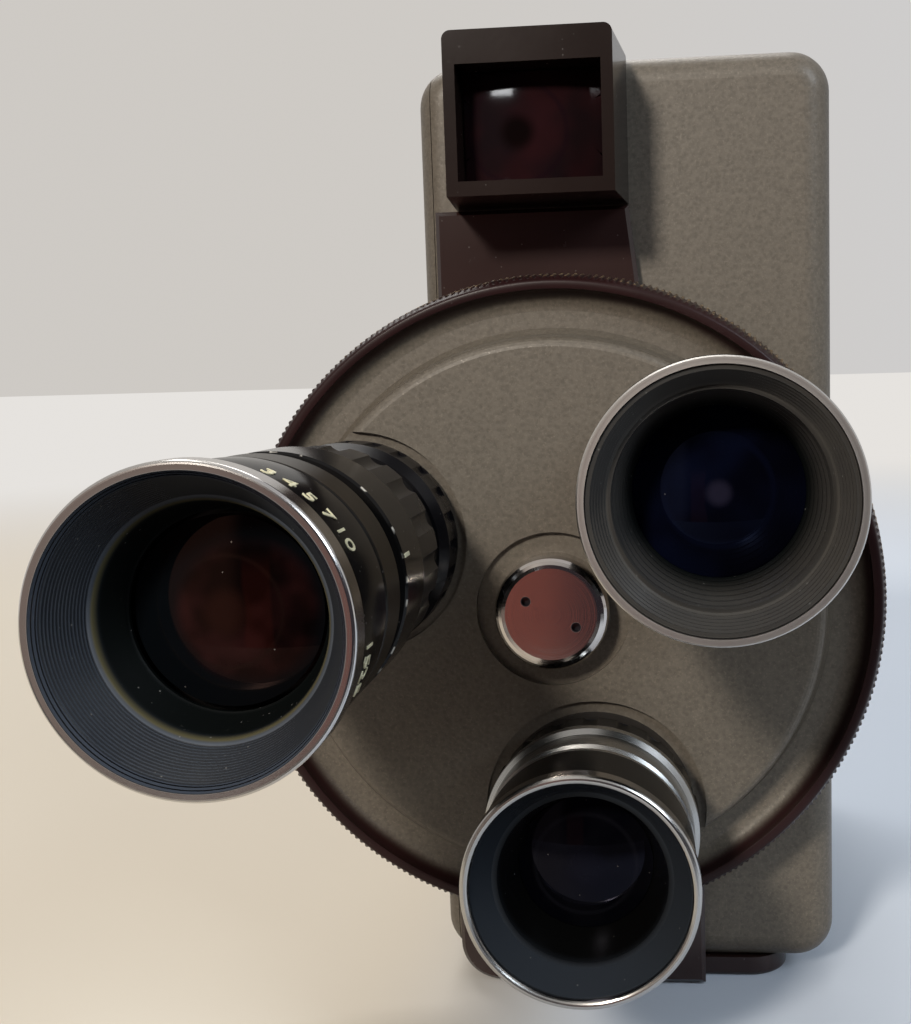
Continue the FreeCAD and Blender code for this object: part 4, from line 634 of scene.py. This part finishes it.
# Hoods: radii are in millimetres, for the painted shade deep inside and for the ring
teleBlack = baffleBlack("teleBlack", {
    "axis": lensAxis("tele"), "threaded": True,
    "dark": (0.058, 0.072, 0.094), "light": (0.105, 0.113, 0.126), "gloss": 0.20, "shine": 0.08,
    "deepShade": (10.7, 11.5), "dust": 0.55,
    "ring": (10.92, 11.14), "ringColour": (0.15, 0.125, 0.04), "ringShare": 0.45,
})
wideBlack = baffleBlack("wideBlack", {
    "axis": lensAxis("wide"), "threaded": False,
    "dark": (0.027, 0.027, 0.028), "light": (0.058, 0.054, 0.048), "gloss": 0.20, "shine": 0.08,
    "deepShade": (9.0, 10.8), "dust": 0.45,
    "ring": (11.20, 11.55), "ringColour": (0.16, 0.15, 0.13), "ringShare": 0.14,
})

# Glasses: the radii of the painted reflections at the centre, of the ghost ring and of the round
# patch are in millimetres
teleGlass = lensGlass("teleGlass", {
    "axis": lensAxis("tele"), "ior": 1.36, "tint": (1.0, 0.55, 0.45), "blur": 0.03, "dust": 0.9,
    "edge": (0.002, 0.001, 0.001), "depth": (0.020, 0.006, 0.006), "reflectionCloudScale": 170,
    "coreReflection": 3.0, "centre": (0.012, 0.004, 0.003),
    "ghostReflection": (5.2, 5.5), "ring": (0.010, 0.005, 0.004),
    "hoodReflection": {"shift": 2.0, "radius": (5.7, 7.5), "mirroredHood": (0.002, 0.003, 0.004)},
})
wideGlass = lensGlass("wideGlass", {
    "axis": lensAxis("wide"), "ior": 1.36, "tint": (0.32, 0.46, 1.0), "blur": 0.03, "dust": 0.35,
    "edge": (0.001, 0.001, 0.003), "depth": (0.002, 0.003, 0.010), "reflectionCloudScale": 110,
    "coreReflection": 1.8, "centre": (0.014, 0.013, 0.026),
    "ghostReflection": (5.4, 6.0), "ring": (0.002, 0.003, 0.010),
})
normalGlass = lensGlass("normalGlass", {
    "axis": lensAxis("normal"), "ior": 1.25, "tint": (0.5, 0.5, 0.75), "blur": 0.03, "dust": 0.5,
    "edge": (0.001, 0.001, 0.002), "depth": (0.002, 0.002, 0.003), "reflectionCloudScale": 240,
    "coreReflection": 3.0, "centre": (0.002, 0.002, 0.004),
    "ghostReflection": (5.8, 6.2), "ring": (0.006, 0.006, 0.008),
})
finderGlass = lensGlass("finderGlass", {
    "axis": (-12.8, 117.0), "ior": 1.14, "tint": (0.8, 0.88, 1.0), "blur": 0.08, "dust": 0.3,
    "edge": (0.009, 0.005, 0.006), "depth": (0.020, 0.006, 0.007), "reflectionCloudScale": 110,
    "coreReflection": 3.0, "centre": (0.004, 0.002, 0.002),
    "ghostReflection": (6.0, 6.6), "ring": (0.010, 0.004, 0.006),
})
spoolPaint = plainPaint("spoolPaint", (0.030, 0.030, 0.032), 0.34)
creamPaint = plainPaint("creamPaint", (0.78, 0.73, 0.50), 0.45)

# The nodes that each finish covers
finishes = {
    bodyPaint: ["main_housing", "film_door"],
    discPaint: ["turret_disc"],
    brownEnamel: ["front_plate", "base_plate"],
    finderEnamel: ["finder_housing", "finder_eyepiece"],
    rimEnamel: ["turret_rim"],
    teleShellFinish: ["tele_barrel"],
    blackEnamel: ["wide_barrel", "tele_aperture_ring"],
    satinBlack: [
        "tele_mount", "tele_focus_ring", "wide_mount", "wide_aperture_ring", "normal_mount",
        "speed_knob",
    ],
    teleChrome: ["tele_rim"],
    normalChrome: ["normal_rim"],
    wideSatin: ["wide_rim"],
    normalBarrel: ["normal_barrel", "normal_aperture_ring"],
    hubChrome: ["hub_cap"],
    controlSatin: ["winding_key", "footage_dial", "latch_knob", "side_screws", "release_button"],
    plateSteel: [
        "gate_plate", "pressure_plate", "pressure_spring", "pulldown_claw", "shutter",
        "detent_plunger", "winding_arbor", "ratchet_wheel", "turret_spindle", "spindle_nut",
        "wheel_arbor", "supply_spindle", "takeup_spindle", "hinge_pin", "latch_cam", "film_guides",
    ],
    movementBrass: [
        "mechanism_plate", "bridge_plate", "spring_drum", "transfer_wheel", "governor",
        "tripod_bush",
    ],
    teleBlack: ["tele_baffle"],
    wideBlack: ["wide_baffle"],
    teleGlass: ["tele_glass", "tele_rear_glass"],
    wideGlass: ["wide_glass"],
    normalGlass: ["normal_glass"],
    finderGlass: ["finder_glass", "eye_lens"],
    spoolPaint: ["supply_spool", "takeup_spool"],
}


def paint(piece, material):
    piece.data.materials.clear()
    piece.data.materials.append(material)


def paintNodes():
    for material, names in finishes.items():
        for name in names:
            paint(nodes[name], material)


def deselectAll():
    bpy.ops.object.select_all(action="DESELECT")


def settle(piece, place):
    # the place goes into the mesh, and the object stays at the origin
    piece.data.transform(place)
    piece.matrix_world = Matrix.Identity(4)


# Own pieces. A turned piece is a circle, extruded and resized ring by ring along a line across y.
# A ring is a radius and its height in front of a plane, in millimetres
def turnRings(name, axis, plane, rings, points, filled=False):
    deselectAll()
    radius, height = rings[0]
    bpy.ops.mesh.primitive_circle_add(
        vertices=points, radius=radius * mm, fill_type="NGON" if filled else "NOTHING",
        location=(axis[0] * mm, (plane - height) * mm, axis[1] * mm), rotation=(math.pi / 2, 0, 0)
    )
    piece = bpy.context.object
    piece.name = name
    settle(piece, piece.matrix_world)
    bpy.ops.object.mode_set(mode="EDIT")
    bpy.ops.mesh.select_mode(type="EDGE")
    bpy.ops.mesh.select_all(action="SELECT")
    if filled:
        bpy.ops.mesh.region_to_loop()
    for (radius, height), (wider, further) in zip(rings, rings[1:]):
        step = {"value": (0, (height - further) * mm, 0), "orient_type": "GLOBAL"}
        bpy.ops.mesh.extrude_edges_move(TRANSFORM_OT_translate=step)
        middle = (axis[0] * mm, (plane - further) * mm, axis[1] * mm)
        share = wider / radius
        bpy.ops.transform.resize(
            value=(share, 1, share), orient_type="GLOBAL", center_override=middle
        )
    return piece


def closeRing():
    bpy.ops.mesh.select_all(action="DESELECT")
    bpy.ops.mesh.select_non_manifold()
    bpy.ops.mesh.bridge_edge_loops()


def finishPiece(piece, material, body, smooth):
    # edges flatter than smooth, in degrees, are shaded as one surface
    bpy.ops.mesh.select_all(action="SELECT")
    bpy.ops.mesh.remove_doubles(threshold=0.001 * mm)
    bpy.ops.mesh.normals_make_consistent(inside=False)
    bpy.ops.object.mode_set(mode="OBJECT")
    bpy.ops.object.shade_smooth_by_angle(angle=math.radians(smooth))
    paint(piece, material)
    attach(piece, body)


def arcRings(radius, height, size, first, last, steps):
    # rings on an arc, from a first angle to a last one in degrees
    rings = []
    for k in range(steps + 1):
        angle = math.radians(first + (last - first) * k / steps)
        rings.append((radius + size * math.cos(angle), height + size * math.sin(angle)))
    return rings


# The turret's rim: teeth all round the edge, a narrow land and a deep cove inside it
knurledRim = {
    "teeth": 300,
    "parts": 4,  # points of the circle in a tooth; two of them are lifted to its tip
    "bore": 38.6,
    "root": (43.44, 42.76),  # radii between the teeth, at the back and at the front
    "tip": 43.70,  # radius of the teeth at the back
    "depth": 6.6,
    "heel": (0.35, 0.3),  # the bevel at the back, across and along
    "steps": 4,
    "shoulder": -0.85,
    "round": {"inset": 0.1, "rise": 0.35, "radius": 0.5},
    "land": (42.20, 41.30),
    "chamfer": (0.12, 0.05),
    "cove": 2.7,
    "slack": 0.06,  # what lies less than this below the root counts as a tooth's foot
}


def makeRim():
    own = knurledRim
    start, front = own["root"]
    depth, shoulder = own["depth"], own["shoulder"]
    outer, inner = own["land"]
    inset, rise = own["heel"]
    rings = [(own["bore"], -depth), (start - inset, -depth), (start, -depth + rise)]
    for k in range(1, own["steps"]):
        share = k / own["steps"]
        rings.append((start + (front - start) * share, -depth + (depth + shoulder) * share))
    rings.append((front, shoulder))
    lip = own["round"]
    rings += arcRings(outer - lip["inset"], shoulder + lip["rise"], lip["radius"], 10, 90, 3)
    rings.append((inner + own["chamfer"][0], 0.0))
    rings.append((inner, -own["chamfer"][1]))
    rings += arcRings(own["bore"], 0.0, own["cove"], -6, -90, 9)
    points = own["teeth"] * own["parts"]
    piece = turnRings("knurledRim", turretAxis, rimPlane, rings, points)
    closeRing()
    bpy.ops.mesh.select_mode(type="VERT")
    bpy.ops.mesh.select_all(action="DESELECT")
    bpy.ops.object.mode_set(mode="OBJECT")
    for point in piece.data.vertices:
        across = point.co.x / mm - turretAxis[0]
        rise = point.co.z / mm - turretAxis[1]
        behind = point.co.y / mm - rimPlane
        share = min(max((depth - behind) / (depth + shoulder), 0), 1)
        root = start + (front - start) * share - own["slack"]
        place = round(math.atan2(rise, across) / (2 * math.pi) * points) % own["parts"]
        point.select = place in (1, 2) and math.hypot(across, rise) > root
    bpy.ops.object.mode_set(mode="EDIT")
    share = own["tip"] / start
    bpy.ops.transform.resize(
        value=(share, 1, share), orient_type="GLOBAL",
        center_override=(turretAxis[0] * mm, rimPlane * mm, turretAxis[1] * mm)
    )
    bpy.ops.mesh.select_mode(type="EDGE")
    finishPiece(piece, rimEnamel, "turret", 28)
    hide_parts("turret_rim")


# The telephoto's hood: fine threads down to a collar, and a cone behind it, darkened by painted
# shade in its finish. Mouth and throat are the threads' first and last radius, and the lists are
# rings over the lens seat
teleHood = {
    "back": [(10.05, 51.03), (13.90, 61.58), (13.62, 61.68)],
    "mouth": 13.46,
    "throat": 11.46,
    "inner": [(11.20, 56.50), (11.0, 56.3), (9.9, 51.7), (9.62, 51.5), (9.62, 51.03)],
    "points": 160,
}


def makeTeleHood():
    own = teleHood
    count, front, rear, wall = (hoodThreads[key] for key in ("count", "front", "rear", "wall"))
    rise, drop = (own["mouth"] - own["throat"]) / count, (front - rear) / count
    rings = list(own["back"])
    for k in range(count):
        radius, height = own["mouth"] - k * rise, front - k * drop
        rings += [(radius, height), (radius, height - drop * wall)]
    rings.append((own["throat"], rear))
    rings += own["inner"]
    piece = turnRings("teleHood", lensAxis("tele"), seatPlane, rings, own["points"])
    closeRing()
    finishPiece(piece, teleBlack, "tele_front", 50)
    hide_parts("tele_baffle")


# Lens glasses: a domed disc in the place of each of these nodes. Crown is the height of its dome
domedGlasses = {
    "teleFrontGlass": {
        "node": "tele_glass", "body": "tele_front", "lens": "tele", "crown": 1.1,
        "finish": teleGlass,
    },
    "wideFrontGlass": {
        "node": "wide_glass", "body": "turret", "lens": "wide", "crown": 1.8,
        "finish": wideGlass,
    },
    "normalFrontGlass": {
        "node": "normal_glass", "body": "turret", "lens": "normal", "crown": 1.2,
        "finish": normalGlass,
    },
}
glassEdge = {"bevel": 0.12, "steps": 14, "points": 96}  # steps from the edge to the pole


def makeGlass(name, own):
    low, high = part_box(own["node"])
    radius = (high.x - low.x) / 2 / mm
    thick = (high.y - low.y) / mm
    bevel, steps = glassEdge["bevel"], glassEdge["steps"]
    edge = thick - own["crown"]
    rings = [(radius - bevel, 0.0), (radius, bevel), (radius, edge)]
    for k in range(1, steps):
        share = math.cos(math.pi / 2 * k / steps)
        rings.append((radius * share, edge + own["crown"] * (1 - share * share)))
    piece = turnRings(
        name, lensAxis(own["lens"]), high.y / mm, rings, glassEdge["points"], filled=True
    )
    bpy.ops.mesh.merge(type="CENTER")  # closes the dome's pole
    finishPiece(piece, own["finish"], own["body"], 50)
    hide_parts(own["node"])


# The finder's front lens: a slice of a ball, cut to the window
finderLens = {"ball": 42.0, "bevel": 0.25, "segments": 128, "rings": 96}


def makeFinderLens():
    own = finderLens
    low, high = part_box("finder_glass")
    middle = (low + high) / 2
    deselectAll()
    bpy.ops.mesh.primitive_uv_sphere_add(
        segments=own["segments"], ring_count=own["rings"], radius=own["ball"] * mm,
        location=(middle.x, low.y + own["ball"] * mm, middle.z), rotation=(math.pi / 2, 0, 0)
    )
    piece = bpy.context.object
    piece.name = "finderFrontLens"
    settle(piece, piece.matrix_world)
    bpy.ops.object.mode_set(mode="EDIT")
    # each cut goes through a corner of the window's box and keeps what lies behind it
    walls = [
        (low, (-1, 0, 0)), (high, (1, 0, 0)), (low, (0, 0, -1)), (high, (0, 0, 1)),
        (high, (0, 1, 0)),
    ]
    for spot, facing in walls:
        bpy.ops.mesh.select_all(action="SELECT")
        bpy.ops.mesh.bisect(plane_co=tuple(spot), plane_no=facing, use_fill=True, clear_outer=True)
    bpy.ops.mesh.select_mode(type="EDGE")
    bpy.ops.mesh.select_all(action="DESELECT")
    bpy.ops.mesh.edges_select_sharp(sharpness=math.radians(40))
    bpy.ops.mesh.bevel(offset=own["bevel"] * mm, segments=2)
    finishPiece(piece, finderGlass, "camera", 30)
    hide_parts("finder_glass")


# The telephoto's barrel: scale ring, groove, brown band and front tube, as rings over the lens seat
teleShell = {
    "outside": [
        (10.55, 27.95), (13.7, 27.95), (14.15, 28.3), (14.15, 36.9), (13.9, 37.2), (13.3, 37.3),
        (13.3, 40.6), (13.9, 40.8), (14.2, 41.1), (14.2, 46.6), (14.0, 46.9), (13.6, 47.0),
        (13.6, 47.7), (14.1, 47.8), (14.3, 48.1), (14.58, 58.9), (14.5, 59.17),
    ],
    "inside": [(13.5, 59.17), (10.3, 51.0), (10.3, 48.6), (8.2, 48.6), (8.2, 37.6), (10.55, 37.6)],
    "points": 160,
}


def makeTeleShell():
    own = teleShell
    rings = own["outside"] + own["inside"]
    piece = turnRings("teleShell", lensAxis("tele"), seatPlane, rings, own["points"])
    closeRing()
    finishPiece(piece, teleShellFinish, "tele_front", 26)
    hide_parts("tele_barrel")


# Plain scale numbers, sunk a little into what carries them. A number stands on its own height,
# turned so that its foot is towards the front. Each mark has its angle round the lens, in degrees
barrelNumbers = {
    "tele": {
        "lens": "tele", "radius": 14.57, "height": 55.6, "size": 3.0, "body": "tele_front",
        "marks": {"3": 66.0, "4": 57.5, "5": 49.0, "7": 40.0, "10": 30.0, "15": -13.0, "25": -24.0},
    },
    "wideStops": {
        "lens": "wide", "radius": 12.62, "height": 8.6, "size": 1.7, "body": "wide_iris",
        "marks": {
            "2": 20.0, "2.8": 45.0, "4": 70.0, "5.6": 95.0, "8": 120.0, "11": 145.0, "16": 170.0
        },
    },
    "normalStops": {
        "lens": "normal", "radius": 13.3, "height": 7.8, "size": 1.5, "body": "normal_iris",
        "marks": {
            "2": 200.0, "2.8": 225.0, "4": 250.0, "5.6": 275.0, "8": 300.0, "11": 325.0, "16": 350.0
        },
    },
}
figures = {"thick": 0.05, "curve": 3}  # half their thickness, and the steps in a curve


def addText(name, words, size, place, body, material):
    deselectAll()
    bpy.ops.object.text_add()
    piece = bpy.context.object
    piece.name = name
    piece.data.body = words
    piece.data.size = size * mm
    piece.data.extrude = figures["thick"] * mm
    piece.data.resolution_u = figures["curve"]
    piece.data.align_x = "CENTER"
    piece.data.align_y = "CENTER"
    bpy.ops.object.convert(target="MESH")
    piece = bpy.context.object
    settle(piece, place)
    paint(piece, material)
    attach(piece, body)


def placeOn(spot, right, up):
    # a place that faces along right x up
    turn = Matrix((right, up, right.cross(up))).transposed().to_4x4()
    return Matrix.Translation(spot) @ turn


def placeOnBarrel(own, degrees):
    across, up = lensAxis(own["lens"])
    angle = math.radians(degrees)
    out = Vector((math.cos(angle), 0, math.sin(angle)))
    centre = Vector((across * mm, (seatPlane - own["height"]) * mm, up * mm))
    back = Vector((0, 1, 0))
    return placeOn(centre + out * (own["radius"] * mm), back.cross(out), back)


def addBarrelNumbers(name, own):
    for mark, degrees in own["marks"].items():
        label = name + "Mark" + mark.replace(".", "p")
        addText(label, mark, own["size"], placeOnBarrel(own, degrees), own["body"], creamPaint)


# Numbers on the footage dial's face, clockwise from the top, with degrees between them
dialNumbers = {
    "marks": ["0", "5", "10", "15", "20", "25"], "ring": 6.6, "size": 2.1, "first": 90, "step": 52
}


def addDialNumbers():
    own = dialNumbers
    low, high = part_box("footage_dial")
    middle = (low + high) / 2
    for k, mark in enumerate(own["marks"]):
        angle = math.radians(own["first"] - own["step"] * k)
        up = Vector((0, math.cos(angle), math.sin(angle)))
        right = Vector((0, math.sin(angle), -math.cos(angle)))
        spot = Vector((high.x, middle.y, middle.z)) + up * (own["ring"] * mm)
        place = placeOn(spot, right, up)
        addText("dialMark" + mark, mark, own["size"], place, "footage", spoolPaint)


# The index line beside the telephoto's turning rings
teleIndex = {
    "lens": "tele", "radius": 14.3, "height": 36.0, "angle": 12.4,
    "size": (0.45, 2.4, 0.12), "bevel": 0.04,
}


def addIndex():
    own = teleIndex
    deselectAll()
    bpy.ops.mesh.primitive_cube_add(size=1)
    piece = bpy.context.object
    piece.name = "teleIndex"
    piece.data.transform(Matrix.Diagonal((*(side * mm for side in own["size"]), 1)))
    settle(piece, placeOnBarrel(own, own["angle"]))
    bpy.ops.object.mode_set(mode="EDIT")
    bpy.ops.mesh.select_all(action="SELECT")
    bpy.ops.mesh.bevel(offset=own["bevel"] * mm, segments=2)
    finishPiece(piece, creamPaint, "tele_front", 40)


def bendSpring():
    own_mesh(nodes["pressure_spring"])


# The room: what the camera, the metal and the glass see round the table. Pairs are ends of a soft
# border, in parts of the direction that they count along
room = {
    "wall": (0.615, 0.588, 0.555),
    "wallCool": (0.620, 0.615, 0.620),
    "wallTurn": (-0.3, 0.4),
    "side": (0.09, 0.092, 0.097),
    "above": (0.20, 0.203, 0.21),
    "aboveTurn": (-0.1, 0.9),
    "front": (0.034, 0.029, 0.036),  # the dark side that the lenses face
    "frontLeft": (0.260, 0.205, 0.180),
    "frontTurn": (-0.34, -0.22),
    "frontEdge": (0.04, 0.50),
    "frontTop": (0.35, 0.85),
    "low": (-0.14, -0.02),  # and below the table's height it begins further back
    "lowEdge": (0.0, 0.1),
    "lowShare": 0.7,
    "patch": (0.260, 0.085, 0.068),  # a reddish patch in it, to mirror in the hub cap
    "patchAcross": (-0.24, -0.086, 0.014),
    "patchUp": (-0.45, 0.10, 0.08),
    "patchEdge": (0.5, 0.8),
}


def makeRoom():
    recipe = Recipe("roomLight", world=True)
    across, depth, up = recipe.apart(recipe.spots())
    seen = recipe.node("LightPath", output="Is Camera Ray")
    shine = recipe.node("LightPath", output="Is Glossy Ray")
    shine = shine + recipe.node("LightPath", output="Is Transmission Ray")
    sky = recipe.mix(up.between(*room["aboveTurn"]), room["side"], room["above"])
    wall = recipe.mix(across.between(*room["wallTurn"]), room["wall"], room["wallCool"])
    nearer = -depth
    ahead = nearer.between(*room["frontEdge"]) * (1 - up.between(*room["frontTop"]))
    low = (1 - up.between(*room["low"])) * nearer.between(*room["lowEdge"]) * room["lowShare"]
    ahead = (ahead + low).atMost(1.0)
    patch = across.band(*room["patchAcross"]) * up.band(*room["patchUp"])
    patch = patch * nearer.between(*room["patchEdge"])
    front = recipe.mix(across.between(*room["frontTurn"]), room["frontLeft"], room["front"])
    front = recipe.mix(patch, front, room["patch"])
    lit = recipe.mix(ahead, recipe.mix(shine.atMost(1.0), sky, wall), front)
    colour = recipe.mix(seen, lit, wall)
    light = recipe.node("Background", inputs={"Color": colour, "Strength": 1.0})
    recipe.node("OutputWorld", inputs={"Surface": light})
    bpy.context.scene.world = recipe.made


# The table: a cloth, warm on the left and cool on the right as the camera sees it. The light that
# it throws back is dimmer. Far off it glows for the camera alone, and so stays pale up to the wall
table = {
    "warm": (0.70, 0.63, 0.52),
    "cool": (0.69, 0.755, 0.85),
    "turn": (-0.04, 0.008),  # the border between the two, in metres across
    "crease": (0.5, 0.5, 0.5),
    "dim": (0.12, 0.115, 0.11),  # for diffuse light
    "gloom": (0.030, 0.026, 0.028),  # what metal and glass mirror of its nearest part
    "gloomEdge": (-0.20, -0.13),  # the border of that part, in metres along y
    "glow": (0.790, 0.765, 0.735),
    "far": (0.30, 1.1),  # where the glow begins and is full, in metres from the middle
    "reach": 14.0,
    "edge": -0.26,  # the table ends a little in front of the camera
}


def tableTop():
    recipe = Recipe("tableTop")
    across, depth, _ = recipe.apart(recipe.spots())
    away = (across * across + depth * depth) ** 0.5
    crease = recipe.noise(9, 4)
    weave = recipe.noise(900, 2)
    shine = recipe.node("LightPath", output="Is Glossy Ray")
    mirrored = shine * depth.between(*table["gloomEdge"])
    seen = recipe.node("LightPath", output="Is Camera Ray")
    seen = seen + recipe.node("LightPath", output="Is Transmission Ray")
    seen = (seen + mirrored).atMost(1.0)
    colour = recipe.mix(across.between(*table["turn"]), table["warm"], table["cool"])
    colour = recipe.mix(crease * 0.12, colour, table["crease"])
    colour = recipe.mix(seen, recipe.mix(shine, table["dim"], table["gloom"]), colour)
    cloth = recipe.shade(
        base_color=colour, roughness=weave * 0.1 + 0.6, normal=recipe.bump(crease, 3 * mm, 0.25)
    )
    glow = recipe.node("Emission", inputs={"Color": table["glow"], "Strength": 1.0})
    share = away.between(*table["far"]) * seen
    return recipe.output(recipe.node("MixShader", inputs={0: share, 1: cloth, 2: glow}))


def makeTable():
    reach, edge = table["reach"], table["edge"]
    bpy.ops.mesh.primitive_plane_add(size=1, location=(0, 0, 0))
    floor = bpy.context.object
    floor.name = "floor"
    floor.data.transform(Matrix.Diagonal((2 * reach, reach - edge, 1, 1)))
    floor.data.transform(Matrix.Translation((0, (reach + edge) / 2, 0)))
    floor.data.materials.append(tableTop())


deselectAll()
bpy.context.scene.view_settings.view_transform = "Standard"
paintNodes()
print("nodes painted")
makeRim()
makeTeleShell()
makeTeleHood()
for name, own in domedGlasses.items():
    makeGlass(name, own)
makeFinderLens()
bendSpring()
print("rim and glasses made")
for name, own in barrelNumbers.items():
    addBarrelNumbers(name, own)
addDialNumbers()
addIndex()
print("marks placed")
makeRoom()
makeTable()
for name, own in lamps.items():
    addLamp(name, own)
addCamera()
print("stage and camera set")
